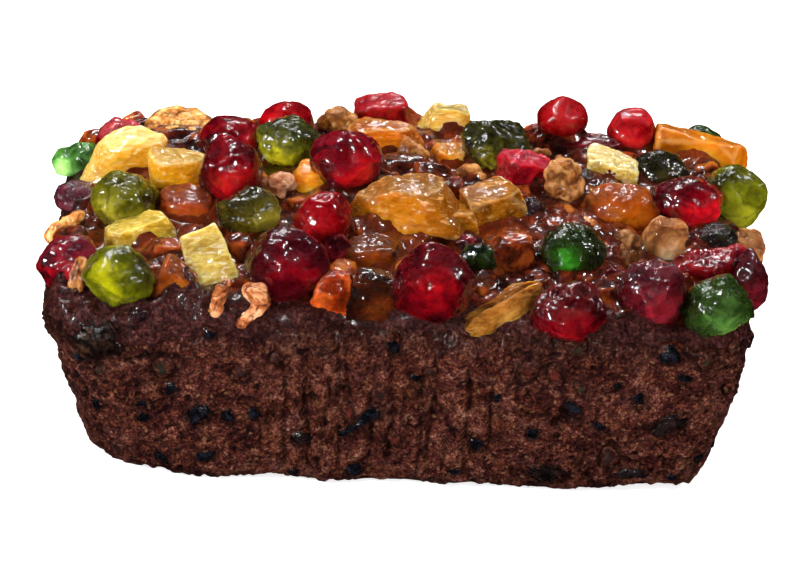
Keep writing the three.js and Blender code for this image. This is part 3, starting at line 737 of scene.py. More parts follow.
def dried(name, dark, mid, lite, seed=0, coat=0.8, rough=0.35, crumbs=False):
    m = Mat(name)
    o = m.shifted((0.011 * seed, 0.019 * seed, 0.005 * seed))
    big = m.noise(3.0, 3.0, 0.6, 0.6, o)
    fine = m.noise(0.6, 2.0, 0.6, 0.0, o)
    c = m.ramp(m.math('ADD', m.math('MULTIPLY', big, 0.8), m.math('MULTIPLY', fine, 0.2)),
               [(0.3, dark), (0.5, mid), (0.75, lite)])
    # painted shade in the creases
    c = m.mix(m.math('MULTIPLY', m.attr('painted_shade'), 0.7), c, dark)
    b = m.bump([(m.noise(1.0, 3.0, 0.6, 0.8, o), 0.4, 0.8), (fine, 0.1, 0.5)])
    gloss = coat
    if crumbs:
        # cake crumbs cling round the edge
        grit = m.noise(1.0, 4.0, 0.72, 0.2)
        cake = m.ramp(grit, [(0.36, '#0a0302'), (0.46, '#260d08'), (0.55, '#401b12'), (0.66, '#643626')])
        on = m.range(m.math('ADD', m.attr('cover'), m.math('MULTIPLY', m.math('SUBTRACT', grit, 0.5), 1.6)), 0.35, 0.6)
        c = m.mix(on, c, cake)
        gloss = m.math('SUBTRACT', coat, m.math('MULTIPLY', on, coat), clamp=True)
    m.set(color=c, rough=m.range(fine, 0.3, 0.7, rough * 0.6, rough * 1.3), coat=gloss, coat_rough=0.1,
          sss=0.1, sss_scale=0.001, sss_radius=(1.0, 0.3, 0.3), normal=b, coat_normal=b, spec=0.15)
    return m.m


def crumb_material():
    m = Mat("crumb")
    s = m.xyz()
    grain = m.noise(0.75, 4.0, 0.75, 0.15)
    grain2 = m.noise(0.32, 2.0, 0.6)
    patch = m.noise(9.0, 4.0, 0.62, 0.4)
    pores = m.voronoi(1.3)
    grit = m.voronoi(0.9, m.shifted((0.4, 0.1, 0.2)), out='Color')
    spk = m.t.nodes.new('ShaderNodeSeparateColor')
    m.link(grit, spk.inputs[0])
    f = m.math('ADD', m.math('MULTIPLY', grain, 0.72), m.math('MULTIPLY', grain2, 0.28))
    f = m.math('ADD', f, m.math('MULTIPLY', m.math('SUBTRACT', patch, 0.5), 0.44))
    # per-grain tone at random, with a painted pool of light across the middle of the front and back
    f = m.math('ADD', f, m.math('MULTIPLY', m.math('SUBTRACT', m.attr('tone_and_painted_light'), 0.5), 0.10), clamp=True)
    c = m.ramp(f, [(0.37, '#100203'), (0.455, '#360f0b'), (0.53, '#54221a'), (0.61, '#7f4638'), (0.74, '#c69278')])
    # purplish where more fruit juice soaked in
    juice = m.range(m.noise(6.0, 3.0, 0.6, 0.3, m.shifted((0.3, 0.5, 0.1))), 0.5, 0.72, 0.0, 0.45)
    c = m.mix(juice, c, m.ramp(f, [(0.36, '#08020a'), (0.48, '#2a1216'), (0.62, '#553034')]))
    # lumps of batter differ a little
    lumps = m.t.nodes.new('ShaderNodeSeparateColor')
    m.link(m.voronoi(4.2, m.shifted((0.2, 0.6, 0.3)), out='Color'), lumps.inputs[0])
    c = m.mix(m.range(lumps.outputs[0], 0.55, 0.9, 0.0, 0.4), c, m.ramp(f, [(0.37, '#120502'), (0.48, '#4a1c0e'), (0.6, '#8a4a2c'), (0.74, '#cc9264')]))
    c = m.mix(m.range(lumps.outputs[1], 0.6, 0.9, 0.0, 0.4), c, m.ramp(f, [(0.4, '#080203'), (0.55, '#2c1010'), (0.7, '#5c3028')]))
    # toasted and sugary grains
    c = m.mix(m.range(spk.outputs[0], 0.9, 0.96, 0.0, 0.4), c, '#8a4a28')
    c = m.mix(m.range(spk.outputs[1], 0.955, 0.985, 0.0, 0.35), c, '#b8835a')
    # painted shade: pores and hollows are nearly black
    c = m.mix(m.range(pores, 0.1, 0.28, 0.7, 0.0), c, '#0a0302')
    c = m.mix(m.math('MULTIPLY', m.attr('painted_shade'), 0.85), c, '#0e0403')
    # moist, darker band along the top edge
    edge = m.math('ADD', s[2], m.math('MULTIPLY', m.math('SUBTRACT', m.noise(9.0, 2.0), 0.5), 0.009))
    wet = m.math('MAXIMUM', m.range(edge, 0.0495, 0.0575), m.attr('moist'))
    c = m.mix(m.math('MULTIPLY', wet, 0.5), c, '#1a0807')
    foot = m.math('ADD', s[2], m.math('MULTIPLY', m.math('SUBTRACT', m.noise(6.0, 3.0), 0.5), 0.012))
    c = m.mix(m.range(foot, 0.0005, 0.006, 0.55, 0.0), c, '#120504')
    spark = m.range(m.voronoi(1.7, m.shifted((0.8, 0.3, 0.5))), 0.05, 0.16, 0.8, 0.0)
    b = m.bump([(f, 1.3, 1.0), (grain2, 0.3, 0.9)])
    m.set(color=c, rough=m.range(grain2, 0.35, 0.65, 0.4, 0.85), spec=0.09, coat=m.math('MAXIMUM', m.math('MULTIPLY', wet, 0.35), spark),
          coat_rough=0.2, normal=b)
    return m.m


def syrup_material():
    m = Mat("syrup")
    big = m.noise(9.0, 2.0, 0.5, 0.8)
    med = m.noise(2.6, 3.0, 0.6, 0.5)
    fine = m.noise(0.8, 2.0, 0.6)
    f = m.math('ADD', m.math('MULTIPLY', m.range(big, 0.3, 0.7), 0.45), m.math('MULTIPLY', m.range(med, 0.3, 0.7), 0.55))
    c = m.ramp(f, [(0.1, '#140403'), (0.4, '#320c07'), (0.7, '#5a1b0b'), (0.95, '#8c3a12')])
    c = m.mix(m.math('MULTIPLY', m.attr('web'), 0.55), c, '#7e300c')
    crust = m.ramp(m.math('ADD', m.math('MULTIPLY', m.noise(1.0, 4.0, 0.7, 0.2), 0.7), m.math('MULTIPLY', med, 0.3)),
                   [(0.36, '#0c0405'), (0.48, '#28100f'), (0.58, '#46211e'), (0.75, '#785044')])
    rim = m.math('ADD', m.attr('rim'), m.math('MULTIPLY', m.math('SUBTRACT', med, 0.5), 0.7), clamp=True)
    c = m.mix(m.range(rim, 0.25, 0.6), c, crust)
    # painted shade in the dips
    c = m.mix(m.math('MULTIPLY', m.attr('painted_shade'), 0.7), c, '#140503')
    b = m.bump([(med, 0.5, 0.25), (fine, 0.1, 0.2)])
    m.set(color=c, rough=m.range(fine, 0.3, 0.7, 0.18, 0.5), coat=m.range(rim, 0.3, 0.8, 1.0, 0.25), coat_rough=0.04, sss=0.3, sss_scale=0.0015,
          sss_radius=(1.0, 0.35, 0.15), normal=b, coat_normal=b, spec=0.15)
    return m.m


# ----------------------------------------------------------------- toppings
TOPPINGS = [
    ('cherry_red_01', 'cherry', (-81, 32, 63.6), (16, 15, 12.5), (0, 0, 0), {}),
    ('cherry_red_02', 'cherry', (-49.1, 25.7, 69.7), (17, 16, 14.5), (0, 0, 0), {}),
    ('cherry_red_03', 'cherry', (-48.4, -1.2, 75.7), (18, 17, 20), (0, 0, 0), {'narrowZ': 0.08, 'dimple': [-0.3, -0.2, 1]}),
    ('cherry_red_04', 'cherry', (-33.6, 37.2, 68.5), (17.5, 16, 15), (0, 0, 0), {}),
    ('cherry_red_05', 'cherry', (-16.3, 6.3, 76.4), (21.5, 19, 17.5), (0, 0, 0), {}),
    ('cherry_red_06', 'cherry', (46.1, 41.7, 71.4), (15, 14.5, 12.5), (0, 0, 0), {}),
    ('cherry_red_07', 'cherry', (67.2, 43.7, 67), (15, 14.5, 13), (0, 0, 0), {}),
    ('cherry_red_08', 'cherry', (81.4, 2.9, 68.2), (19, 16.5, 15), (0, 0, 12), {}),
    ('cherry_red_09', 'cherry', (-31.5, -39.6, 70.8), (22.3, 21, 21.5), (0, 0, 0), {}),
    ('cherry_red_10', 'cherry', (8.6, -47.2, 70.6), (22.3, 21, 21.5), (0, 0, 0), {'dimple': [0.1, -0.9, -0.1]}),
    ('cherry_red_11', 'cherry', (-22.1, -20, 73), (16.5, 15, 15), (0, 0, 0), {'tip': 0.12}),
    ('cherry_red_12', 'cherry', (-91, -31.7, 63.6), (18.5, 16, 14), (0, 0, 0), {}),
    ('cherry_red_13', 'cherry', (45.8, -49.5, 64.5), (20.5, 16.5, 15), (0, 0, 0), {}),
    ('cherry_dark_01', 'cherry', (68.4, -41.6, 67.1), (18.5, 17, 18), (0, 0, 0), {}),
    ('cherry_dark_02', 'cherry', (96.3, -28.6, 62.3), (10, 14, 17), (0, 0, 0), {}),
    ('cherry_green_01', 'cherry', (-32.7, 22.1, 72.1), (18, 16, 14), (0, 0, 0), {}),
    ('cherry_green_02', 'cherry', (-77.9, -7.2, 68.6), (18.8, 18, 16.5), (0, 0, 0), {'dimple': [-0.2, -0.5, 0.6]}),
    ('cherry_green_03', 'cherry', (-42.7, -14.8, 71.2), (17.5, 14, 13), (0, 0, -12), {}),
    ('cherry_green_04', 'cherry', (26.6, 23.2, 71.2), (18.5, 17.5, 17), (0, 0, 0), {}),
    ('cherry_green_05', 'cherry', (94.9, 13.8, 64.4), (18.5, 18, 18), (0, 0, 0), {}),
    ('cherry_green_06', 'cherry', (-76.7, -43.2, 66.8), (19.2, 17.5, 17), (0, 0, 10), {}),
    ('cherry_green_07', 'cherry', (46.6, -26.3, 69.3), (19.5, 17, 15), (0, 0, 0), {}),
    ('cherry_green_08', 'cherry', (86.7, -45.2, 64.6), (19, 17, 16.5), (0, 0, 0), {'cut': [0.5, -0.2, -1, 0.62]}),
    ('cherry_green_09', 'cherry', (74.4, 24.2, 65.9), (16, 14, 11), (0, 0, 10), {}),
    ('cherry_green_10', 'cherry', (-93.2, 25.3, 61.7), (14.5, 11, 9.5), (0, 0, -20), {'waist': 0.18, 'waistAt': -0.2}),
    ('cherry_green_11', 'cherry', (87.7, 47.3, 61.9), (12, 11, 9), (0, 0, 0), {}),
    ('cherry_piece_01', 'block', (-6.7, 48, 67.5), (15.5, 10, 7.5), (0, 0, -6), {'p': 6, 'arch': -0.1}),
    ('cherry_piece_02', 'block', (35.3, 13.2, 70.3), (16.5, 10.5, 9), (10, 0, 12), {'p': 5, 'narrowX': 0.15, 'arch': -0.12}),
    ('cherry_piece_03', 'block', (52.8, 37.4, 64.8), (22, 9, 5.5), (0, 0, 0), {'p': 5, 'arch': -0.1}),
    ('cherry_piece_04', 'block', (84.3, -23.9, 63.7), (16.5, 9, 7.5), (0, 0, -8), {'p': 5, 'narrowX': -0.12, 'arch': -0.1}),
    ('orange_01', 'block', (-0, -11, 73.6), (29, 16, 11.5), (-4, 0, -4), {'p': 6, 'curve': -0.16, 'narrowX': 0.06, 'narrowZ': -0.06}),
    ('orange_02', 'block', (-6.3, 31.8, 68.1), (22, 11, 10), (0, 0, -8), {'p': 6, 'curve': -0.14, 'arch': -0.1}),
    ('orange_03', 'block', (22.5, -10.3, 70), (21, 10, 11), (5, 0, -22), {'p': 7, 'waist': 0.16, 'waistAt': -0.05}),
    ('orange_04', 'block', (86.5, 39.7, 63.7), (26, 8, 8.5), (-8, 0, 14), {'p': 8, 'narrowX': 0.18, 'curve': 0.08}),
    ('orange_05', 'block', (13.6, 22.6, 68.4), (11.5, 9, 8), (0, 0, 0), {'p': 5}),
    ('orange_06', 'block', (-26.3, 11.3, 67.9), (10, 8, 8.5), (0, 0, 0), {'p': 6}),
    ('pineapple_01', 'block', (-78.8, 20.8, 66.1), (22, 11.5, 10), (20, 0, -8), {'p': 8, 'narrowX': 0.16, 'curve': 0.06}),
    ('pineapple_02', 'block', (-62.6, 10, 69), (17, 12, 13), (18, 0, -5), {'p': 7, 'narrowX': 0.14, 'lean': -0.1}),
    ('pineapple_03', 'block', (-73.1, -18.7, 65.9), (20, 9.5, 8), (12, 0, -10), {'p': 5, 'waist': 0.2, 'waistAt': 0.15}),
    ('pineapple_04', 'block', (13.5, 45.3, 66.9), (14, 10, 8.5), (10, 0, 10), {'p': 7, 'narrowX': -0.12}),
    ('pineapple_05', 'block', (60.2, 22.1, 66.9), (14, 11, 7.5), (-8, 0, 10), {'p': 7, 'narrowZ': 0.1}),
    ('pineapple_06', 'block', (-53, -32.8, 66.5), (15.5, 11, 13), (24, 0, 20), {'p': 6, 'narrowZ': 0.2, 'lean': 0.08}),
    ('peel_01', 'block', (61.6, -1.4, 68.4), (21, 14, 11.5), (0, 0, -8), {'p': 4, 'narrowZ': 0.1, 'arch': -0.08}),
    ('peel_02', 'block', (-59.8, -6.3, 65.9), (17, 14, 11), (0, 0, 0), {'p': 4}),
    ('peel_03', 'block', (-61.3, -41.6, 65), (12, 8, 8), (-10, 0, 15), {'p': 4, 'narrowX': 0.15}),
    ('peel_04', 'block', (-8.5, -28.2, 66.7), (16, 12, 8), (0, 0, 0), {'p': 5}),
    ('peel_05', 'block', (-7.2, -44.3, 64.1), (15, 11, 14), (0, 0, 0), {'p': 4, 'narrowZ': 0.14}),
    ('walnut_01', 'walnut', (-64.7, 41.9, 63.7), (19, 13, 9), (-5, 0, 0), {}),
    ('walnut_02', 'walnut', (-93.9, -8.1, 60.7), (12.5, 10, 8.5), (0, 0, -10), {}),
    ('walnut_03', 'walnut', (-34.9, 2.5, 70.1), (11, 10, 10.5), (0, 0, 0), {}),
    ('walnut_04', 'walnut', (-18.6, 43.5, 67.7), (11.5, 10, 9), (0, 0, 0), {}),
    ('walnut_05', 'walnut', (45.6, 7.3, 71.7), (11.5, 11, 12.5), (0, 0, 0), {'waist': 0.12}),
    ('walnut_06', 'walnut', (-42.5, -48.9, 63.7), (11, 9, 13), (0, 0, 15), {'curl': -0.2, 'narrowZ': -0.1}),
    ('walnut_07', 'walnut', (61.4, -23.4, 68.4), (9.5, 8, 13), (0, 0, 0), {'curl': 0.3}),
    ('nut_sliver_01', 'sliver', (28.6, -44.4, 63.3), (24, 6, 7), (0, 0, -34), {'arch': -0.1}),
    ('nut_piece_01', 'block', (73.4, -15.1, 66.9), (11, 9, 12), (10, 0, 8), {'p': 5, 'narrowZ': 0.1}),
    ('nut_piece_02', 'block', (97.3, -3.7, 58.9), (10.5, 8, 7.5), (0, 0, 10), {'p': 4}),
    ('raisin_01', 'raisin', (-92.1, 6.3, 61), (13.5, 10, 8.5), (0, 0, 0), {}),
    ('raisin_02', 'raisin', (88.5, -7.2, 62.5), (13.5, 10, 9), (0, 0, 0), {}),
]

# how each piece looks: skin, fineness, palette and its own changes
# top colours are a painted top shading; rim and edge give a painted highlight along cut edges
PAL = {
    'red': dict(dark='#2c0006', mid='#8c0512', lite='#d4141f', top='#7a1420', painted_top_shading=0.5),
    'scarlet': dict(dark='#6a0308', mid='#b80a14', lite='#ee3030', top='#d03038', painted_top_shading=0.4),
    'maroon': dict(dark='#1c0206', mid='#4a0410', lite='#9a0c1c', top='#4a1420', painted_top_shading=0.5),
    'magenta': dict(dark='#26020c', mid='#62081c', lite='#b01a34', top='#6a2030', painted_top_shading=0.5),
    'olive': dict(dark='#3a3404', mid='#86800a', lite='#ccc432', radius=(1.0, 1.0, 0.2)),
    'lime': dict(dark='#1c1c04', mid='#6e700a', lite='#d8d020', radius=(1.0, 1.0, 0.2)),
    'emerald': dict(dark='#141808', mid='#44641c', lite='#86c050', radius=(0.7, 1.0, 0.3)),
    'blackgreen': dict(dark='#0c0c04', mid='#2c2c0c', lite='#7c8018', radius=(0.9, 1.0, 0.25)),
    'pineapple': dict(dark='#c88010', mid='#f0b020', lite='#fcdc60', radius=(1.0, 0.75, 0.2), fibre=True, film=0.2, speck=0.04, bump=0.45, painted_shade_amount=0.25, gain=0.7, coat_rough=0.025, rim=0.25, edge='#fff0c0'),
    'pine_pale': dict(dark='#b88c24', mid='#e8c04c', lite='#f8e490', radius=(1.0, 0.8, 0.3), fibre=True, film=0.4, speck=0.08, bump=0.7),
    'orange': dict(dark='#a44c06', mid='#ec900c', lite='#ffc034', radius=(1.0, 0.5, 0.12), film=0.2, speck=0.04, bump=0.45, painted_shade_amount=0.25, gain=0.7, coat_rough=0.025, rim=0.22, edge='#ffdc98'),
    'amber': dict(dark='#3a1204', mid='#9c440a', lite='#e08a26', radius=(1.0, 0.4, 0.12), film=0.2, speck=0.05, bump=0.45, painted_shade_amount=0.3),
    'darkamber': dict(dark='#120604', mid='#3c1508', lite='#8c3e10', radius=(1.0, 0.4, 0.15), film=0.6, speck=0.15),
    'nutgel': dict(dark='#5a2c08', mid='#b07020', lite='#dca04c', radius=(1.0, 0.5, 0.2), rough=0.35, bump=0.8),
    'tan': dict(dark='#8a5a2c', mid='#c8945c', lite='#ecc898', radius=(1.0, 0.6, 0.35), rough=0.5, coat=0.6, coat_rough=0.15),
}

LOOKS = {
    'cherry_red_01': ('wrinkled', 0.6, 'scarlet', dict(dim=0.80, mid='#a80c20', lite='#e83a48', top='#e06a70')),
    'cherry_red_02': ('cherry', 0.6, 'red', dict(dim=0.95, mid='#86040f', painted_glow=(0.5, -0.8, -0.2), bump=0.5, marks=0.8, top='#8c0a16', painted_top_shading=0.3, lite='#d81420')),
    'cherry_red_03': ('cherry', 0.4, 'red', dict(dim=0.70, mid='#94060f', lite='#e01820', painted_glow=(0.15, -0.9, 0.0), bump=0.5, patch=7.0, coat_rough=0.03, marks=0.8)),
    'cherry_red_04': ('cherry', 0.6, 'red', dict(dim=0.95, mid='#a8060f', lite='#e0141c', painted_glow=(-0.3, -0.8, 0.2), top='#84060e', bump=0.5, marks=0.8, painted_top_shading=0.3)),
    'cherry_red_05': ('cherry', 0.4, 'red', dict(dim=0.90, mid='#7c0412', lite='#dc1822', painted_glow=(0.35, -0.85, 0.0), patch=4.5, bump=0.5, marks=0.8)),
    'cherry_red_06': ('cherry', 0.6, 'scarlet', dict(dim=0.50, mid='#c40a14', painted_glow=(0.0, -0.5, 0.3), bump=0.5, marks=0.6)),
    'cherry_red_07': ('cherry', 0.6, 'scarlet', dict(dim=0.80, dark='#4a0208', painted_glow=(-0.1, -0.8, 0.1), bump=0.5, marks=0.8)),
    'cherry_red_08': ('cherry', 0.4, 'red', dict(mid='#8a0414', lite='#f01828', painted_glow=(0.5, -0.7, 0.0), painted_glow_r=1.15, top='#2a0a10', painted_top_shading=0.7, bump=0.5, marks=0.8)),
    'cherry_red_09': ('cherry', 0.4, 'maroon', dict(dim=0.65, mid='#540410', lite='#a00c1a', painted_glow=(0.2, -0.8, 0.35), patch=7.0, bump=0.5, marks=0.8)),
    'cherry_red_10': ('cherry', 0.4, 'red', dict(dim=0.6, dark='#1c0206', mid='#6a040f', lite='#c8121c', painted_glow=(-0.05, -0.9, 0.4), painted_glow_r=0.85, gain=0.6, top='#7a1420', painted_top_shading=0.3, bump=0.5, marks=0.8)),
    'cherry_red_11': ('cherry', 0.4, 'scarlet', dict(dim=0.42, mid='#b80614', lite='#f42430', painted_glow=(-0.2, -0.9, 0.1), painted_glow_r=1.2, top='#c01020', bump=0.5, marks=0.8)),
    'cherry_red_12': ('wrinkled', 0.5, 'maroon', dict(mid='#8a0a18', lite='#d8202c', painted_glow=(0.3, -0.7, -0.2), top='#4a1422', painted_top_shading=0.6, bump=0.7, dim=1.15)),
    'cherry_red_13': ('wrinkled', 0.4, 'red', dict(dim=0.38, dark='#260208', mid='#7c0816', lite='#c81c28', painted_glow=(-0.1, -0.9, 0.1), top='#8a3030', painted_top_shading=0.5, bump=0.7)),
    'cherry_dark_01': ('wrinkled', 0.4, 'magenta', dict(dim=0.65, painted_glow=(0.1, -0.8, 0.0), bump=0.8, mid='#5a1018', lite='#a42434', top='#7a3a44')),
    'cherry_dark_02': ('wrinkled', 0.6, 'magenta', dict(dim=0.7, bump=0.8, mid='#501018', lite='#8a2030', top='#5a2a30')),
    'cherry_green_01': ('wrinkled', 0.4, 'blackgreen', dict(dim=1.50, mid='#66680c', lite='#d4d024', painted_glow=(-0.35, -0.85, -0.3), top='#1c1c10', painted_top_shading=0.9)),
    'cherry_green_02': ('cherry', 0.4, 'olive', dict(dim=0.65, dark='#1c1a04', mid='#7c7810', lite='#d4c840', painted_glow=(-0.4, -0.85, -0.2), painted_glow_r=1.2, patch=6.0, top='#6a6414', painted_top_shading=0.5, bump=0.7)),
    'cherry_green_03': ('cherry', 0.4, 'olive', dict(dark='#181404', mid='#64580a', lite='#a89c38', painted_glow=(0.7, -0.6, -0.1), painted_glow_r=1.2, gain=0.8, top='#201c10', painted_top_shading=0.8)),
    'cherry_green_04': ('wrinkled', 0.4, 'blackgreen', dict(mid='#48440c', lite='#a89c1c', painted_glow=(0.1, -0.8, -0.2), gain=0.45, patch=3.5, top='#181810')),
    'cherry_green_05': ('cherry', 0.4, 'olive', dict(dim=0.95, dark='#22200a', mid='#6a6c0c', lite='#a8a828', painted_glow=(0.1, -0.85, -0.05), patch=7.0, bump=0.6)),
    'cherry_green_06': ('cherry', 0.4, 'lime', dict(dim=0.55, mid='#6e700c', lite='#ccc814', painted_glow=(-0.2, -0.8, 0.45), painted_glow_r=1.05, gain=0.55, patch=6.5)),
    'cherry_green_07': ('cherry', 0.4, 'emerald', dict(dark='#0a0c05', mid='#22380c', lite='#40a824', painted_glow=(-0.15, -0.8, 0.25), painted_glow_r=0.62, gain=0.7, patch=3.5, top='#141c0a', painted_top_shading=0.5)),
    'cherry_green_08': ('wrinkled', 0.4, 'emerald', dict(dim=0.50, mid='#34501c', lite='#6c9c48', painted_glow=(0.1, -0.9, 0.1), bump=1.1)),
    'cherry_green_09': ('cherry', 0.6, 'blackgreen', dict(mid='#1c180c', lite='#443c18')),
    'cherry_green_10': ('gel', 0.6, 'emerald', dict(dim=1.20, dark='#0c2008', mid='#54883c', lite='#a8dc80', painted_glow=(-0.6, -0.8, -0.3))),
    'cherry_green_11': ('cherry', 0.6, 'emerald', dict(mid='#284018')),
    'cherry_piece_01': ('gel', 0.6, 'scarlet', dict(dim=0.6, mid='#c01020', lite='#ee4048')),
    'cherry_piece_02': ('wrinkled', 0.5, 'red', dict(dim=0.90, dark='#5a040e', mid='#a40c20', lite='#dc2434', bump=1.0, gain=0.3, top='#b03a4c', painted_top_shading=0.5)),
    'cherry_piece_03': ('gel', 0.6, 'maroon', dict(dim=0.70, mid='#6a0610', lite='#a8121c', top='#5a1018', painted_top_shading=0.4, bump=0.6)),
    'cherry_piece_04': ('wrinkled', 0.5, 'red', dict(dim=0.45, dark='#5a040e', mid='#a80a1c', lite='#e02c34', bump=0.7, gain=0.4, top='#6a0810', painted_top_shading=0.3)),
    'orange_01': ('gel', 0.5, 'orange', dict(dark='#8c4804', mid='#d8820e', lite='#f29c1e', top='#6a4e26', painted_top_shading=0.75, patch=5.0, painted_glow=(0.0, -0.95, -0.3), painted_glow_r=1.3, marks=0.8, dim=0.8, scale=4.0, rim=0.12, streak=('#ffc878', '#a05408'))),
    'orange_02': ('gel', 0.5, 'orange', dict(dark='#843604', mid='#e07c10', lite='#ffa82c', top='#7c4a1c', painted_top_shading=0.6, marks=0.6, streak=('#ffc070', '#a04c08'), dim=0.9)),
    'orange_03': ('gel', 0.5, 'orange', dict(dark='#6c3804', mid='#c47a10', lite='#f0a428', painted_glow=(-0.8, -0.9, -0.2), painted_glow_r=1.1, gain=0.6, top='#8a5a20', painted_top_shading=0.5, marks=0.5, scale=3.5, dim=0.92, streak=('#e8b060', '#6c3804'))),
    'orange_04': ('gel', 0.5, 'orange', dict(dark='#a85408', mid='#e08a14', lite='#f8ac34', bump=0.6, top='#a86414', painted_top_shading=0.5, marks=0.5, scale=3.5)),
    'orange_05': ('wrinkled', 0.5, 'orange', dict(dark='#8c4808', mid='#dc8414', lite='#fcb440', top='#a06c28', film=0.3)),
    'orange_06': ('gel', 0.5, 'orange', dict(mid='#f49c10', lite='#ffc838', gain=0.6, dark='#c06808', scale=3.5, streak=('#ffd080', '#c06c08'))),
    'pineapple_01': ('fibre', 0.5, 'pineapple', dict(dark='#d8a850', mid='#ecb838', lite='#eca414', top='#f0dc98', painted_top_shading=0.6, painted_glow=(0.15, -0.95, -0.2), painted_glow_r=1.35, marks=0.8, gain=0.75, dim=0.88, scale=3.0, streak=('#fff0c0', '#c08008'))),
    'pineapple_02': ('fibre', 0.5, 'pineapple', dict(dark='#c89420', mid='#f2ac1c', lite='#fcae10', top='#8c7844', painted_top_shading=0.65, marks=0.75, scale=3.5, dim=0.95, streak=('#ffe8a8', '#b06c08'))),
    'pineapple_03': ('gel', 0.5, 'pineapple', dict(dark='#94781c', mid='#d0a830', lite='#f0d878', fibre=False, bump=1.2, top='#c0a84c', painted_top_shading=0.4, speck=0.15, streak=('#f8eca8', '#86680e'))),
    'pineapple_04': ('gel', 0.6, 'pineapple', dict(dark='#b08420', mid='#ecb840', lite='#fcec9c', top='#84784c', painted_top_shading=0.7, marks=0.6, streak=('#fff0b8', '#8c6414'))),
    'pineapple_05': ('wrinkled', 0.5, 'pine_pale', dict(dark='#8c6c1c', mid='#e4c054', lite='#fcf0b4', top='#c8b888', painted_top_shading=0.8, bump=0.9, speck=0.15, marks=1.3, streak=('#fff8e0', '#a07c24'))),
    'pineapple_06': ('fibre', 0.45, 'pine_pale', dict(dark='#a8781c', mid='#e4bc48', lite='#fcf0ac', rim=0.3, top='#e8d070', painted_top_shading=0.5, dim=0.68, marks=1.7, streak=('#fff8dc', '#a88420'))),
    'peel_01': ('gel', 0.5, 'amber', dict(dark='#481804', mid='#9c4004', lite='#d87814', patch=5.0, radius=(1, .5, .15), painted_glow_r=1.2, bump=0.6, film=0.3, top='#8c4818', painted_top_shading=0.5, marks=0.6, dim=0.85)),
    'peel_02': ('gel', 0.5, 'amber', dict(dark='#4c1404', mid='#a04010', lite='#d4681c', top='#542820', painted_top_shading=0.5, film=0.3, marks=0.6)),
    'peel_03': ('gel', 0.5, 'amber', dict(dark='#3c1406', mid='#8c4010', lite='#c06c1c', film=0.3)),
    'peel_04': ('gel', 0.5, 'amber', dict(dark='#2c0c04', mid='#7c340c', lite='#bc6414', patch=6.0, top='#4a2414', painted_top_shading=0.5, bump=0.5, film=0.2, marks=0.5)),
    'peel_05': ('gel', 0.5, 'darkamber', dict(dark='#160805', mid='#3c160a', lite='#74300e', patch=7.0, bump=0.4, film=0.2, marks=0.5, dim=0.75)),
    'walnut_01': ('nut', 0.4, 'nut', dict(dark='#54280a', mid='#cc8430', lite='#f8d088')),
    'walnut_02': ('nut', 0.6, 'nut', dict(dark='#7a340c', mid='#dc9040', lite='#ffd48c')),
    'walnut_03': ('nut', 0.6, 'nut', dict(dark='#5a2a12', mid='#b06c44', lite='#e0b08c')),
    'walnut_04': ('nut', 0.6, 'nut', dict(dark='#5a2e10', mid='#a06424', lite='#d0985c')),
    'walnut_05': ('nut', 0.4, 'nut', dict(dark='#4e240a', mid='#a4642c', lite='#d8a468')),
    'walnut_06': ('nut', 0.4, 'nut', dict(dark='#4c1e0c', mid='#a85c2c', lite='#e8b080')),
    'walnut_07': ('nut', 0.6, 'nut', dict(dark='#2e160a', mid='#6a3c1c', lite='#a87444')),
    'nut_sliver_01': ('fibre', 0.4, 'nutgel', dict(dark='#4a2008', mid='#a4641e', lite='#e2a64c', fibre=True, bump=1.1, dim=0.64)),
    'nut_piece_01': ('gel', 0.5, 'tan', dict(dark='#5c3014', mid='#b47c48', lite='#ecc494', coat=1.0, coat_rough=0.06, film=0.6, bump=1.3, painted_glow=(0.3, -0.8, -0.2), dim=1.2)),
    'nut_piece_02': ('wrinkled', 0.5, 'tan', dict(dark='#5c3014', mid='#a47044', lite='#d8b48c', coat=1.0, coat_rough=0.06, film=0.6, bump=1.3)),
    'raisin_01': ('raisin', 0.6, 'raisin', dict(dark='#12060a', mid='#441420', lite='#702430')),
    'raisin_02': ('raisin', 0.6, 'raisin', dict(dark='#060606', mid='#16120e', lite='#322a10')),
}

# further shaping of the cut pieces: q rounds the outline seen from above
SHAPES = {
    'orange_01': dict(q=2.8, p=5.5, narrowX=-0.3, narrowZ=0.22, arch=-0.1), 'orange_02': dict(q=2.4, p=3.6, narrowZ=0.22, arch=-0.16),
    'orange_03': dict(q=8, p=6.5, narrowZ=0.08, wander=0.5), 'orange_04': dict(p=5.5, narrowZ=0.1),
    'orange_05': dict(q=3.0, p=3.4, narrowZ=0.2), 'orange_06': dict(q=3.4, p=4.5, narrowZ=0.15),
    'pineapple_01': dict(q=2.4, p=3.4, narrowX=0.1, narrowZ=0.24, arch=-0.06, lean=0.22), 'pineapple_02': dict(q=2.2, p=4.4, narrowZ=0.22, narrowX=0.25, arch=-0.1),
    'pineapple_03': dict(q=3.0, p=3.4, narrowZ=0.12, waist=0.12, arch=-0.04), 'pineapple_04': dict(q=3.0, p=4.0, narrowZ=0.25, arch=-0.1),
    'pineapple_05': dict(p=6, narrowZ=0.08, wander=0.5), 'pineapple_06': dict(p=7.5, q=9, narrowZ=0.06, wander=0.5),
    'peel_01': dict(q=2.3, p=2.5, narrowZ=0.22, arch=-0.1), 'peel_02': dict(q=2.6, p=2.8, narrowZ=0.2),
    'peel_03': dict(q=4.0, p=5, narrowX=0.45, narrowZ=0.15, wander=0.5), 'peel_04': dict(q=2.4, p=2.4, narrowZ=0.15, arch=-0.1),
    'nut_piece_01': dict(q=4, p=4.2, narrowZ=0.28), 'peel_05': dict(q=3.0, p=2.6, narrowZ=0.15), 'cherry_piece_01': dict(q=3.4, p=4), 'cherry_piece_02': dict(q=4.5, p=3.4),
    'cherry_piece_03': dict(q=2.6, p=2.6), 'cherry_piece_04': dict(q=3.0, p=3),
}

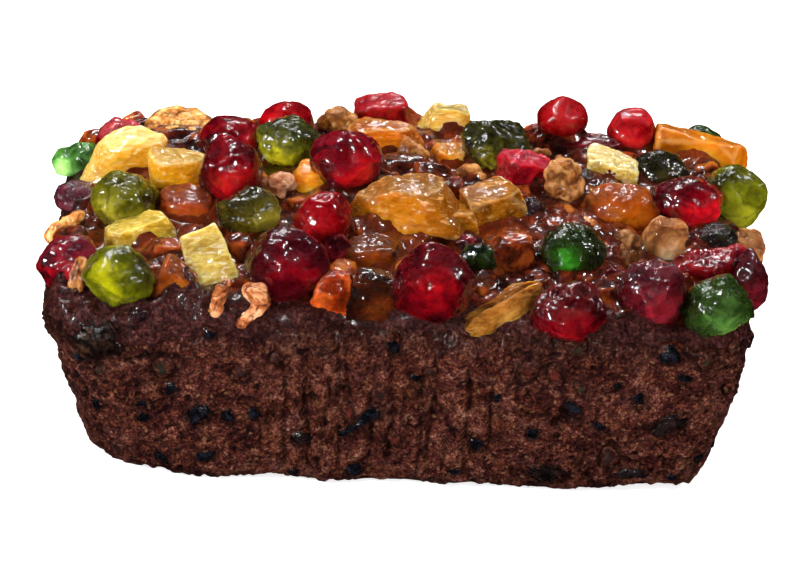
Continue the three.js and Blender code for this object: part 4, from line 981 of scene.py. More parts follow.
# pieces grown together from two cubes: centre, size, turn
TWINS = {
    'orange_03': [((15.4, -13.6, 69.8), (9, 8, 8), (8, 0, 6)), ((24.4, -7.6, 70.6), (15, 10, 12), (32, 0, -5))],
}

# pieces that show a little beside their solid: centre, size, turn
PLACED = {
    'nut_sliver_01': ((28.3, -46.4, 63.2), (24, 7, 7), (18, 0, -28)),
    'orange_06': ((-26.2, 6.2, 69.6), (11, 8, 9.5), (-10, 0, 8)),
    'pineapple_01': ((-78.7, 20.4, 66.2), (22.5, 12, 12), (18, 0, -6)),
    'pineapple_02': ((-62.8, 8.9, 67.9), (18.5, 12.5, 15.5), (24, 0, -8)),
    'pineapple_04': ((13.5, 44.5, 67.4), (14.5, 10, 10.5), (10, 0, 10)),
    'pineapple_06': ((-53.2, -33.5, 67.4), (11.5, 8, 14.8), (0, -38, -28)),
}

def rounded_plan(a, b, halfL, halfW, corner):
    x, y = a * halfL, b * halfW
    ix = np.clip(x, -(halfL - corner), halfL - corner)
    iy = np.clip(y, -(halfW - corner), halfW - corner)
    vx, vy = x - ix, y - iy
    L = np.hypot(vx, vy)
    k = np.where(L > 1e-9, np.maximum(np.abs(vx), np.abs(vy)) / np.maximum(L, 1e-9), 1.0)
    return ix + vx * k, iy + vy * k

# -------------------------------------------------------- loaf: shape rules
TL, TW, BL, BW, RH = 196.0, 108.0, 171.0, 88.0, 58.0
DOME, RIM_ROUND = 9.0, 7.0
SIDE_BULGE, CRUMB_WAVE, RIM_WAVE, PLEAT, SINK = 1.2, 0.7, 1.1, 0.7, 1.6
CORNERS = dict(back=(17, 12), left=(17, 19), right=(13, 8))

def dome_height(x, y):
    X = np.minimum(np.abs(x) / (TL / 2), 1)
    Y = np.minimum(np.abs(y) / (TW / 2), 1)
    return RH + DOME * (1 - X ** 2.5) * (1 - Y ** 2.5)

NESTS = []
for name, form, at, size, turn, shape in TOPPINGS:
    up_by = min(max(at[2] - size[2] / 2 + SINK - float(dome_height(at[0], at[1])), 0), 7)
    if up_by > 0:
        NESTS.append((at[0], at[1], 0.42 * (size[0] + size[1]) / 2 + 2, up_by))

def nest_lift(x, y):
    out = 0
    for nx, ny, reach, up_by in NESTS:
        d = ((x - nx) ** 2 + (y - ny) ** 2) / reach ** 2
        out = np.maximum(out, up_by * np.exp(-d * d))
    return out

def corner_radius(a, b, h):
    top = np.where(b > 0, CORNERS['back'][0], np.where(a < 0, CORNERS['left'][0], CORNERS['right'][0]))
    low = np.where(b > 0, CORNERS['back'][1], np.where(a < 0, CORNERS['left'][1], CORNERS['right'][1]))
    return low + (top - low) * h

def plan(a, b, z, inset):
    h = np.clip(z / RH, 0, 1)
    halfL = BL / 2 + (TL - BL) / 2 * h - inset
    halfW = BW / 2 + (TW - BW) / 2 * h - inset
    return rounded_plan(a, b, halfL, halfW, corner_radius(a, b, h))

def side_push(x, y, z):
    h = np.clip(z / RH, 0, 1)
    P = np.stack([x, y, z], 1) / 30.0
    out = SIDE_BULGE * np.sin(np.pi * h) + CRUMB_WAVE * wave(P, 3, 7)
    zone = np.exp(-(((x + 8) / 34) ** 4)) * np.sin(np.pi * h) ** 0.7 * (y < 0)
    return out + PLEAT * zone * np.sin(x * 0.9 + 2.2 * np.sin(x * 0.21))

def side_point(side, u, z):
    """point and outward direction on a side, u running along it"""
    h = z / RH
    halfL = BL / 2 + (TL - BL) / 2 * h
    halfW = BW / 2 + (TW - BW) / 2 * h
    long_side = side in ('front', 'back')
    sx = (-1 if u < 0 else 1) if long_side else (-1 if side == 'left' else 1)
    sy = (-1 if side == 'front' else 1) if long_side else (-1 if u < 0 else 1)
    c = float(corner_radius(np.array(sx), np.array(sy), h))
    H, W = (halfL, halfW) if long_side else (halfW, halfL)
    over = abs(u) - (H - c)
    if over > 0:
        over = min(over, c * 0.97)
        v = W - c + math.sqrt(c * c - over * over)
        nu, nv = over / c * (1 if u > 0 else -1), math.sqrt(1 - (over / c) ** 2)
    else:
        v, nu, nv = W, 0.0, 1.0
    s = -1 if side in ('front', 'left') else 1
    p = (u, s * v, z) if long_side else (s * v, u, z)
    n = np.array((nu, s * nv, -0.2) if long_side else (s * nv, nu, -0.2))
    n /= np.linalg.norm(n)
    out = float(side_push(np.array([p[0]]), np.array([p[1]]), np.array([z]))[0])
    return np.array(p) + n * out, n

# ------------------------------------------------ fruit and currants in the crumb
# x, z on the front, width, height, tilt, kind
SPOTS = [
    (-82.6, 52.6, 12.4, 10.5, 10, 'brown'), (-87.2, 44.4, 7.1, 3.4, 12, 'black'), (-81.5, 41.3, 3.3, 7.6, -10, 'green'),
    (-82.5, 27.2, 3.3, 6.2, 0, 'black'), (-88, 30, 3.3, 4.7, 0, 'purple'), (-62.3, 35.7, 5, 5.8, -25, 'black'),
    (-64.5, 43.6, 6.6, 8.4, 0, 'green'), (-70.6, 30.4, 5, 3.1, 10, 'black'), (-70.1, 25.1, 4.4, 3.5, -30, 'black'),
    (-54.6, 26.2, 7.8, 7.8, 0, 'black'), (-46.6, 25.8, 3.9, 6.2, 0, 'black'), (-39.4, 28, 3.9, 6.2, 0, 'black'),
    (-77.2, 10.4, 6.2, 5.6, 0, 'purple'), (-73, 9.8, 5, 4.8, 0, 'red'), (-52.6, 10.3, 6.2, 4.8, 20, 'black'),
    (-65.2, 9, 3.4, 7.2, 15, 'black'), (-26.8, 19.7, 6.1, 5.9, 0, 'currant'), (-13.4, 29.6, 3.9, 6.2, 0, 'red'),
    (-12.4, 22.7, 3.9, 10.2, -40, 'black'), (-7.8, 28.3, 5, 10.9, -50, 'black'), (-4.5, 36.9, 5.5, 6.9, 0, 'purple'),
    (-10.8, 6.4, 5.1, 6.4, 0, 'black'), (-28.2, 4.8, 3.4, 3.2, 0, 'black'), (22.9, 18.2, 6.1, 5.5, -30, 'black'),
    (4.9, 42.6, 3.8, 3.4, -20, 'black'), (8.9, 44.7, 3.8, 3.1, 10, 'purple'), (-1.5, 52.5, 3.5, 6.8, 10, 'black'),
    (35.4, 46.3, 6.6, 9.9, -20, 'red'), (48.2, 55.1, 5.4, 5.3, 0, 'green'), (42.8, 45.5, 4.9, 9.9, 10, 'red'),
    (50.3, 41, 3.3, 6.9, 30, 'green'), (48.6, 33.6, 4.4, 8.5, 35, 'black'), (60.1, 42.5, 2.7, 3.1, 0, 'black'),
    (66.5, 37.5, 4.1, 6.2, 0, 'black'), (73.7, 53.7, 6.5, 6.4, 0, 'black'), (78.2, 46, 3.8, 4.6, 30, 'black'),
    (83.4, 52.3, 4.6, 6.1, 0, 'green'), (75.8, 29.5, 11.6, 6.6, 32, 'currant'), (56.5, 27.1, 6.6, 3.1, -35, 'black'),
    (37.9, 23.5, 3.9, 5.1, 0, 'black'), (59.9, 15.2, 5.6, 10.3, 0, 'purple'), (42.8, 7.7, 11.8, 7.6, -10, 'currant'),
    (66.3, 8.8, 10.7, 4.4, 10, 'currant'), (78.2, 7.8, 3.9, 3.6, 20, 'black'), (84.6, 15.2, 3.6, 3.2, 20, 'black'),
    (-21.7, 51.5, 4.4, 3.4, 0, 'purple'), (-33.6, 48, 3.8, 4.6, 0, 'purple'), (-51.7, 55.7, 4.3, 3.4, 0, 'black'),
    (-31.4, 62, 6.5, 6, 0, 'currant'), (-57.9, 49.1, 3.8, 3.8, 0, 'red'), (11, 52.3, 3.3, 3, 0, 'purple'),
    (27.4, 37.2, 2.8, 3.1, 0, 'black'), (70.3, 21.5, 4.4, 3.9, 0, 'red'), (51.4, 60.5, 3.8, 3.4, 0, 'black'),
    (91.2, 56, 2.7, 4.5, 0, 'purple'), (-43.4, 42.3, 6, 5.3, -10, 'purple'), (-0.1, 19.8, 4.5, 5.5, 0, 'red'),
    (17.3, 7.3, 4.5, 3.2, 0, 'black'),
]
spots = [('front',) + s for s in SPOTS if s[1] < 57]
k = 0
for side, reach, count in (('back', 86, 58), ('left', 42, 28), ('right', 42, 28)):
    taken = []
    while len(taken) < count:
        k += 1
        u = (2 * rnd(k, 41) - 1) * reach
        z = 5 + 48 * rnd(k, 42)
        if abs(u) > reach - 8 * (1 - z / RH) or any(math.hypot(u - t[0], z - t[1]) < 7.5 for t in taken):
            continue
        taken.append((u, z))
        pick = rnd(k, 43)
        kind = 'black' if pick < 0.5 else 'purple' if pick < 0.68 else 'red' if pick < 0.8 else \
            'green' if pick < 0.88 else 'currant'
        w = 3 + 4.5 * rnd(k, 44) ** 2 + (3 if kind == 'currant' else 0)
        spots.append((side, u, z, w, w * (0.6 + 0.8 * rnd(k, 45)), 160 * rnd(k, 46) - 80, kind))

marks = []      # centre, two axes and half sizes, for the crumb to make room
spot_parts = {}
for i, (side, u, z, w, hgt, tilt, kind) in enumerate(spots):
    p, n = side_point(side, u, z)
    across = np.cross([0, 0, 1.0], n); across /= np.linalg.norm(across)
    if side == 'front':
        across = across if across[0] > 0 else -across
    upw = np.cross(n, across)
    if upw[2] < 0:
        upw = -upw
    t = math.radians(tilt)
    e1 = math.cos(t) * across + math.sin(t) * upw
    e2 = -math.sin(t) * across + math.cos(t) * upw
    marks.append((p, e1, e2, n, w / 2, hgt / 2))
    S, F = ico(4 if max(w, hgt) > 7 else 3)
    seed = 300 + i
    r = 1 + 0.16 * wave(S, seed, 2.7) + 0.08 * wave(S, seed + 9, 6)
    L = S * r[:, None] * np.array([w / 2, hgt / 2, min(w, hgt) * 0.36])
    off = L + 21.0 * seed
    r1 = ridged(off * np.array([1, 0.7, 1]), 1.7, seed)
    big = max(w, hgt) > 9
    L = L * (1 + ((0.3 if kind == 'brown' else 0.17 if big else 0.10) * r1)[:, None]) * (0.3 + 0.75 * facets(S, seed, 9))[:, None]
    V = p - n * (min(w, hgt) * 0.36 - (1.9 if kind == 'brown' else 0.7 if kind == 'currant' else 0.15)) + L[:, :1] * e1 + L[:, 1:2] * e2 + L[:, 2:] * n
    # a mirrored frame needs its faces turned round
    if np.dot(np.cross(e1, e2), n) < 0:
        F = F[:, ::-1]
    V[:, 2] = np.maximum(V[:, 2], 0.3)
    over = np.hypot(S[:, 0], S[:, 1]) + 0.22 * vnoise(V, 1.6, 99) + 0.16 * vnoise(V, 0.8, 98)
    lo = 0.9 if kind == 'brown' else 0.62 if kind in ('black', 'currant') else 0.25
    # painted shade in the creases, plus ten times how far cake crumbs cover the piece
    spot_parts.setdefault(kind, []).append((V, F, smooth(0.3, -0.6, r1) + 10 * smooth(lo, lo + 0.3, over)))

# ----------------------------------------------------------------- loaf mesh
NA, NB = 330, 176
ga = np.linspace(-1, 1, NA + 1)[:-1]
gb = np.linspace(-1, 1, NB + 1)[:-1]
ring_a = np.concatenate([ga, np.full(NB, 1.0), -ga, np.full(NB, -1.0)])
ring_b = np.concatenate([np.full(NA, -1.0), gb, np.full(NA, 1.0), -gb])
NR = len(ring_a)
bx, by = plan(ring_a, ring_b, np.zeros(NR), np.zeros(NR))
rb = 4.2 + 1.8 * fbm(np.stack([bx, by, 0 * bx], 1), 22.0, 51, 2)
rb = rb + 5.0 * np.exp(-((bx + 80) ** 2 + (by + 40) ** 2) / 18.0 ** 2) \
    + 3.0 * np.exp(-((bx - 86) ** 2 + (by + 44) ** 2) / 12.0 ** 2)
rows = []
for t in np.linspace(0, 1, 8)[:-1]:
    th = t * math.pi / 2
    rows.append((rb * (1 - math.sin(th)), rb * (1 - math.cos(th)), 0.0))
for t in np.linspace(0, 1, 71)[:-1]:
    rows.append((0 * rb, rb + (RH - RIM_ROUND - rb) * t, 0.0))
for t in np.linspace(0, 1, 13):
    ph = t * math.pi / 2
    rows.append((0 * rb + RIM_ROUND * (1 - math.cos(ph)), 0 * rb + RH - RIM_ROUND * (1 - math.sin(ph)), math.sin(ph)))
rows.append((0 * rb + 9.5, 0 * rb + RH, 1.0))
base = []
for inset, z, topness in rows:
    x, y = plan(ring_a, ring_b, z, inset)
    if topness > 0:
        z = z + topness * (dome_height(x, y) - RH + nest_lift(x, y)) \
            + RIM_WAVE * topness * wave(np.stack([x, y, 0 * x], 1) / 30.0, 7, 6)
    base.append(np.stack([x, y, z], 1))
base = np.concatenate(base)
nrow = len(rows)
idx = np.arange(nrow * NR).reshape(nrow, NR)
nxt = np.roll(idx, -1, axis=1)
SQ = np.stack([idx[:-1], nxt[:-1], nxt[1:], idx[1:]], -1).reshape(-1, 4)
N0 = normals_of(base, SQ)
Vl = base + N0 * (side_push(base[:, 0], base[:, 1], base[:, 2]) * smooth(60.5, 55, base[:, 2]))[:, None]

# crumb: grains, pores, a few deeper holes, ragged bottom edge
warp = Vl + 0.8 * np.stack([vnoise(Vl + 13 * q, 2.4, 60 + q) for q in range(3)], 1)
f1, f2, who = cells(warp, 1.6, 71)
k1, k2, kwho = cells(warp + 0.5, 4.6, 75)
g1, g2, gwho = cells(warp, 3.4, 81)
h1, h2, hwho = cells(Vl, 9.0, 91)
granule = np.sqrt(np.clip(1 - (f1 / 1.2) ** 2, 0, 1))
rough_zone = 0.55 + 0.6 * smooth(-0.5, 0.5, vnoise(Vl, 10.0, 88))
grain = rough_zone * (0.5 * granule * (0.4 + 0.9 * who) - 0.28) + 0.45 * (kwho - 0.5) * smooth(0.0, 0.5, k2 - k1)
pore = smooth(1.25, 0.5, g1) * (gwho < 0.45)
hole = smooth(1.7, 0.7, h1 * (0.8 + 0.3 * vnoise(Vl, 1.5, 95))) * (hwho < 0.32)
low = smooth(11, 0, Vl[:, 2])
ragged = low * np.maximum(0, fbm(Vl, 9.0, 97, 3)) * 1.6
d = 0.55 * fbm(Vl, 7.0, 31, 2) + 0.35 * vnoise(Vl, 3.2, 36) + 0.28 * fbm(Vl, 1.5, 41, 2) + grain - 0.85 * pore - 1.3 * hole - ragged
crack = smooth(0.86, 1.0, ridged(Vl * np.array([1, 1, 1.5]), 13.0, 77)) * smooth(-0.1, 0.5, vnoise(Vl, 17.0, 78))
d = d - 0.9 * crack
# creases of the lining paper on the front and back, and a few open cracks: x, z points
CREASES = [(-38, 12, 34), (-31, 8, 46), (-25, 6, 50), (-19.5, 14, 40), (-16, 8, 48), (-13.5, 20, 50), (-7, 10, 36), (-1, 8, 30),
           (6.8, 6, 48), (9.7, 12, 50), (14, 8, 34), (19.6, 8, 46), (26, 16, 40)]
CRACKS = [[(50, 26.5), (55, 24), (60, 21.5), (63, 18.5)], [(62, 15.5), (67, 13.5), (73, 9.5), (79, 8)],
          [(47, 33), (44, 28), (46, 24)], [(-72, 47), (-66, 49), (-60, 47.5)], [(-90, 38), (-86, 33), (-87, 27)],
          [(30, 53), (38, 51.5), (44, 53)], [(-28, 51), (-22, 49.5), (-17, 51.5)]]
groove, lip = np.zeros(len(Vl)), np.zeros(len(Vl))
faced = smooth(36, 44, np.abs(Vl[:, 1]))
wig = 0.9 * vnoise(np.c_[0 * Vl[:, 0], 0 * Vl[:, 0], Vl[:, 2]], 9.0, 83)
turn_x = np.where(Vl[:, 1] < 0, Vl[:, 0], -Vl[:, 0])
for j, (cx, z0, z1) in enumerate(CREASES):
    off = turn_x - cx - wig * (1 if j % 2 else -1) - 0.04 * (Vl[:, 2] - 28) * (rnd(j, 5) - 0.5) * 2
    span = smooth(z0 - 3, z0 + 2, Vl[:, 2]) * smooth(z1 + 3, z1 - 2, Vl[:, 2]) * faced
    groove = np.maximum(groove, np.exp(-(off / 0.55) ** 2) * span)
    lip = np.maximum(lip, np.exp(-((off - 1.3) / 0.8) ** 2) * span)
for line in CRACKS:
    for (xa, za), (xb, zb) in zip(line[:-1], line[1:]):
        ux, uz = xb - xa, zb - za
        t = np.clip(((turn_x - xa) * ux + (Vl[:, 2] - za) * uz) / (ux * ux + uz * uz), 0, 1)
        far = np.hypot(turn_x - xa - t * ux, Vl[:, 2] - za - t * uz) + 0.35 * vnoise(Vl, 1.6, 85)
        groove = np.maximum(groove, 1.5 * np.exp(-(np.maximum(far, 0) / 0.6) ** 2) * faced)
groove = groove * (0.55 + 0.6 * smooth(-0.4, 0.4, vnoise(Vl, 3.2, 84)))
d = d - 0.95 * groove + 0.35 * lip
moist = smooth(-62, -86, Vl[:, 0]) * smooth(-20, -42, Vl[:, 1]) * smooth(41, 51, Vl[:, 2] + 3 * vnoise(Vl, 7.0, 87))
d = d + moist * (1.0 + 0.9 * ridged(Vl, 4.5, 167) + 0.5 * ridged(Vl, 2.0, 168))
# painted shade in pores, holes, gaps between grains, cracks and creases
painted_shade = np.clip(0.8 * pore + hole + 0.7 * smooth(0.62, 0.0, granule) * smooth(0.7, 0.1, f2 - f1) + 0.8 * crack
                 + 0.75 * groove, 0, 1)
# per-grain tone at random, plus a painted pool of light across the middle of the front and back
tone_and_painted_light = who + 0.35 * np.exp(-((Vl[:, 0] + 5) / 45) ** 2) * faced
for p, e1, e2, n, hw, hh in marks:
    q = Vl - p
    near = np.abs(q @ n) < 6
    q = q[near]
    rr = np.hypot(q @ e1 / hw, q @ e2 / hh)
    d[near] = d[near] - 1.1 * smooth(0.95, 0.55, rr + 0.18 * vnoise(Vl[near], 1.7, 98))
    # a painted shadow ring round each piece of fruit in the crumb
    painted_shade[near] = np.maximum(painted_shade[near], 0.95 * np.exp(-((rr - 0.95) / 0.26) ** 2))
Vl = Vl + N0 * (d * smooth(0, 1.5, base[:, 2]))[:, None]
Vl[:, 2] = np.maximum(Vl[:, 2], 0)
Vl[:NR, 2] = 0

def cap(ring, spacing, zfun, flip):
    """fills a ring of points: (vertices, triangles)"""
    lo, hi = ring[:, :2].min(0), ring[:, :2].max(0)
    X, Y = np.meshgrid(np.arange(lo[0], hi[0], spacing), np.arange(lo[1], hi[1], spacing))
    P = np.stack([X.ravel(), Y.ravel()], 1)
    P = P + spacing * 0.25 * np.stack([vnoise(np.c_[P, 0 * P[:, 0]], 2.9, 5), vnoise(np.c_[P, 0 * P[:, 0]], 2.9, 6)], 1)
    centre = ring[:, :2].mean(0)
    # keep only points well inside the outline
    ang = np.arctan2(ring[:, 1] - centre[1], ring[:, 0] - centre[0])
    order = np.argsort(ang)
    reach = np.interp(np.arctan2(P[:, 1] - centre[1], P[:, 0] - centre[0]), ang[order],
                      np.hypot(*(ring[order, :2] - centre).T), period=2 * math.pi)
    P = P[np.hypot(*(P - centre).T) < reach - 1.6]
    pts = [Vector(q) for q in ring[:, :2]] + [Vector(q) for q in P]
    out = delaunay_2d_cdt(pts, [], [list(range(len(ring)))], 1, 1e-6)
    V2 = np.array([v[:] for v in out[0]])
    src = [o[0] if len(o) else -1 for o in out[3]]
    z = np.array([ring[s, 2] if 0 <= s < len(ring) else 1e9 for s in src])
    free = z > 1e8
    z[free] = zfun(V2[free, 0], V2[free, 1])
    T = np.array([f[:] for f in out[2] if len(f) == 3])
    V = np.c_[V2, z]
    up_now = np.cross(V[T[:, 1]] - V[T[:, 0]], V[T[:, 2]] - V[T[:, 0]])[:, 2].sum() > 0
    if up_now == flip:
        T = T[:, ::-1]
    return V, T

bot_V, bot_T = cap(Vl[:NR], 2.0, lambda x, y: 0.5 * smooth(0.1, 0.9, fbm(np.stack([x, y, 0 * x], 1), 4.0, 99, 3)), True)
top_V, top_T = cap(Vl[-NR:], 3.0, lambda x, y: dome_height(x, y) + nest_lift(x, y) - 1.2, False)
allV = np.concatenate([Vl, bot_V, top_V])
allH = np.concatenate([painted_shade, 0.4 * np.ones(len(bot_V)), np.ones(len(top_V))])
allT = np.concatenate([tone_and_painted_light, 0.5 * np.ones(len(bot_V)), 0.5 * np.ones(len(top_V))])
crumb = crumb_material()
loaf_ob = add_mesh("v_loaf", allV, [SQ, bot_T + len(Vl), top_T + len(Vl) + len(bot_V)], crumb, attrs={'painted_shade': allH, 'tone_and_painted_light': allT, 'moist': np.r_[moist, np.zeros(len(bot_V) + len(top_V))]})
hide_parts("loaf")

spot_mats = {
    'black': dried("currant_black", '#030305', '#08090e', '#20232e', 1, coat=1.0, rough=0.3, crumbs=True),
    'currant': dried("currant_shiny", '#050304', '#140c0c', '#30201c', 2, coat=1.0, rough=0.3, crumbs=True),
    'brown': dried("fruit_brown", '#040202', '#120a07', '#4c2a18', 6, coat=0.5, rough=0.4, crumbs=True),
    'purple': dried("fruit_purple", '#150909', '#2a1616', '#442c28', 3, coat=0.3, rough=0.5, crumbs=True),
    'red': dried("fruit_red", '#220806', '#48160e', '#64281a', 4, coat=0.35, rough=0.5, crumbs=True),
    'green': dried("fruit_green", '#14120c', '#2c2618', '#443c26', 5, coat=0.35, rough=0.5, crumbs=True),
}
for kind, parts in spot_parts.items():
    V, F, H = join(parts)
    ob = add_mesh("crumb_%s" % kind, V, F, spot_mats[kind], attrs={'painted_shade': np.minimum(H, 1), 'cover': np.clip((H - 1) / 9, 0, 1)})

# ------------------------------------------------------------- the toppings
PAL['nut'] = dict(dark='#5a2e10', mid='#b87a3c', lite='#e8c48a')
for i, (name, form, at, size, turn, shape) in enumerate(TOPPINGS):
    skin, fine, pal, own = LOOKS[name]
    own = dict(own)
    marks = own.pop('marks', 1.0)
    at, size, turn = PLACED.get(name, (at, size, turn))
    if form == 'walnut':
        V, F, H = walnut(name, at, size, turn, i + 1, 0.42)
    elif name in TWINS:
        V, F, H = join([fruit(form, a, z, r, SHAPES[name], i + 70 * j + 1, fine, skin, marks)
                        for j, (a, z, r) in enumerate(TWINS[name])])
    else:
        V, F, H = fruit(form, at, size, turn, dict(shape, **SHAPES.get(name, {})), i + 1, fine, skin, marks)
    if pal == 'nut':
        mat = nutty("m_" + name, seed=i, **dict(PAL['nut'], **own))
    elif pal == 'raisin':
        mat = dried("m_" + name, seed=i, **own)
    else:
        mat = candied("m_" + name, size=size, seed=i, **dict(PAL[pal], **own))
    ob = add_mesh("v_" + name, V, F, mat, origin=at, attrs={'painted_shade': H})
    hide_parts(name)
    if name.startswith('cherry_green'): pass
    elif name.startswith('cherry'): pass
    elif name.startswith('pineapple'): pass
    elif name.startswith('orange'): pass
    elif name.startswith('peel'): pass
    elif name.startswith('walnut') or name == 'nut_sliver_01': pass
    elif name.startswith('nut'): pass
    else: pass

# -------------------------------------------------- smaller bits on the top
# kind, form, centre, size, turn
BITS = [
    ('amber', 'block', (-69.4, 37.2, 63), (8, 6, 6.6), (10, 10, 0)), ('crystal', 'block', (13.1, 4.1, 69), (7.1, 5.3, 7.2), (0, 0, 20)),
    ('amber', 'block', (68.5, 47.1, 60.2), (9.1, 6.8, 4.3), (0, 0, 0)), ('darkamber', 'block', (-64.6, -26.7, 64.8), (10.5, 7.9, 6.9), (20, 0, 10)),
    ('darkamber', 'block', (-45.5, -28, 67), (8, 6, 8.7), (0, 10, 0)), ('crystal', 'block', (-18.4, -44.1, 65.1), (10.5, 7.9, 10.2), (0, -8, 6)),
    ('darkamber', 'block', (30.2, -28.1, 69), (12.8, 9.6, 11.3), (15, 0, 0)), ('raisin', 'raisin', (-71, -50.5, 59.8), (7, 6, 5), (0, 0, 8)),
    ('crystal', 'block', (38.8, 53.6, 59.1), (5.7, 4.3, 5.1), (0, 0, 0)), ('nut', 'walnut', (2.4, 23.9, 69.4), (11, 8, 8), (10, 0, 0)),
    ('nut', 'walnut', (19.4, 11.6, 69.7), (9, 7, 7), (20, 0, 0)), ('nut', 'sliver', (-88.3, -40.4, 63.7), (13, 5, 5), (80, 0, -62)),
    ('nut', 'walnut', (-29.4, 21.8, 66.5), (10.2, 7.7, 4.6), (0, 0, 0)),
    ('nut', 'walnut', (46.7, -33.6, 63.6), (7.4, 5.5, 3.6), (0, 0, 0)), ('nut', 'walnut', (5.5, -49.7, 59.7), (4, 3, 3.1), (0, 0, 0)),
    ('raisin', 'raisin', (35.8, -4.6, 68.7), (9.4, 7, 7.9), (30, 0, 0)), ('blackgreen', 'cherry', (22.6, -29.9, 67.7), (11.9, 8.9, 8.9), (0, 0, 0)),
    ('raisin', 'raisin', (0.7, 18.9, 66.8), (11.9, 8.9, 3.8), (0, 0, 0)), ('darkred', 'cherry', (-18.2, -28, 68.1), (9.1, 6.8, 8.9), (0, 0, 0)),
    ('amber', 'block', (45.5, -4.9, 67), (8, 6, 5.6), (10, 0, 0)), ('darkred', 'cherry', (91, -1, 61.3), (9.7, 7.2, 6.6), (0, 0, 0)),
    ('blackgreen', 'cherry', (87.3, -11.2, 61), (11.4, 8.5, 4.6), (0, 0, 0)), ('amber', 'block', (-57.2, -19.3, 64.9), (8.5, 6.4, 4.6), (-20, 0, 0)),
    ('darkred', 'cherry', (93.1, -18.5, 62.6), (8.5, 6.4, 10.2), (0, 0, 0)), ('amber', 'block', (39.2, 9.8, 66.5), (4.5, 3.4, 4.1), (0, 0, 0)),
    ('amber', 'block', (54.9, 41.5, 61.4), (5.7, 4.3, 3.1), (0, 0, 0)), ('orange', 'block', (76.7, 37.5, 60.2), (4, 3, 2.6), (0, 0, 0)),
]
BODIES = [(at, size, turn[0]) for _, _, at, size, turn, _ in TOPPINGS] + [(at, size, turn[0]) for _, _, at, size, turn in BITS]

def clearance(x, y, z):
    """plan distance (mm) to the nearest piece, where it is cut at height z"""
    best = np.full(np.shape(x), 99.0)
    for at, size, yaw in BODIES:
        c, s = math.cos(math.radians(yaw)), math.sin(math.radians(yaw))
        dx, dy = x - at[0], y - at[1]
        u, v = (c * dx + s * dy) / (size[0] / 2), (-s * dx + c * dy) / (size[1] / 2)
        q = np.clip((z - at[2]) / (size[2] / 2), -1, 1)
        cut = np.sqrt(np.maximum(1 - q * q, 0))
        best = np.minimum(best, (np.hypot(u, v) - cut) * min(size[0], size[1]) / 2)
    return best

# fill the remaining gaps with small pieces, lying low
kinds = ['darkred', 'amber', 'amber', 'nut', 'darkamber', 'amber', 'darkamber', 'amber', 'nut', 'darkamber', 'raisin']
CLEAR = [(-75, 13.5, 5), (-71, -23, 5), (-62, 2, 4), (57.5, 16, 5), (-27, 3, 4), (14, 38, 7), (16, 16, 4)]
k = 0
while k < 1500:
    k += 1
    x, y = (2 * rnd(k, 51) - 1) * 92, (2 * rnd(k, 52) - 1) * 49
    if abs(x) > 82 and abs(y) > 40:
        continue
    if any(math.hypot(x - cx, y - cy) < cr for cx, cy, cr in CLEAR):
        continue
    z = float(dome_height(x, y)) + 1.0
    room = float(min(clearance(np.array(x), np.array(y), z + dz).min() for dz in (0, 2)))
    if room < 2.7:
        continue
    kind = kinds[int(rnd(k, 53) * len(kinds))]
    w = min(2 * room + 1.6, 6.5 + 5 * rnd(k, 54))
    size = (w, w * (0.62 + 0.3 * rnd(k, 55)), w * (0.5 + 0.25 * rnd(k, 56)))
    form = {'raisin': 'raisin', 'nut': 'walnut'}.get(kind, 'cherry' if kind in ('darkred', 'blackgreen') else 'block')
    row = (kind, form, (x, y, z + 0.1 * size[2]), size, (360 * rnd(k, 57), 30 * rnd(k, 58) - 15, 30 * rnd(k, 59) - 15))
    BITS.append(row)
    BODIES.append((row[2], row[3], row[4][0]))

bit_mats = {
    'amber': candied("bit_amber", gain=0.0, **dict(PAL['amber'], dark='#300e05', mid='#7a3010', lite='#b0601e', trans=0.0, bump=0.35, film=0.15)),
    'darkamber': candied("bit_dark_amber", gain=0.0, **dict(PAL['darkamber'], dark='#260a05', mid='#5c1e0c', lite='#964616', bump=0.3, film=0.15)),
    'orange': candied("bit_orange", **dict(PAL['orange'], gain=0.0, trans=0.0)),
    'crystal': candied("bit_crystal", gain=0.0, dark='#3c0e04', mid='#842608', lite='#bc561c', radius=(1, .4, .12), bump=1.5),
    'tan': candied("bit_tan", gain=0.0, dark='#2a120a', mid='#5a3018', lite='#946038', radius=(1, .5, .25), rough=0.4, bump=1.3),
    'nut': nutty("bit_nut", '#4a200a', '#9c5a24', '#d09858', 90),
    'raisin': dried("bit_raisin", '#080406', '#1c0c10', '#3c1a1c', 91, coat=1.0, rough=0.3),
    'blackgreen': candied("bit_black_green", gain=0.0, dark='#050805', mid='#0e160c', lite='#26380f', radius=(.7, 1, .3)),
    'darkred': candied("bit_dark_red", gain=0.0, dark='#1a0208', mid='#4c0812', lite='#8a1424', bump=1.3),
}
bit_skin = {'raisin': 'raisin', 'nut': 'nut', 'tan': 'wrinkled', 'crystal': 'sugar', 'darkred': 'wrinkled', 'blackgreen': 'wrinkled'}
bit_parts = {}
for i, (kind, form, at, size, turn) in enumerate(BITS):
    small = max(size) < 8
    shape = {'p': 3.2, 'q': 2.4 + 3.6 * rnd(i, 62), 'narrowX': 0.5 * rnd(i, 61) - 0.25, 'narrowZ': 0.15, 'arch': -0.1} if form == 'block' else {}
    if form == 'walnut':
        part = walnut(kind, at, size, turn, 400 + i, 0.55)
    else:
        part = fruit(form, at, size, turn, shape, 400 + i, 0.6, bit_skin.get(kind, 'gel'))
    bit_parts.setdefault(kind, []).append(part)
for kind, parts in bit_parts.items():
    V, F, H = join(parts)
    ob = add_mesh("top_bits_%s" % kind, V, F, bit_mats[kind], attrs={'painted_shade': H})

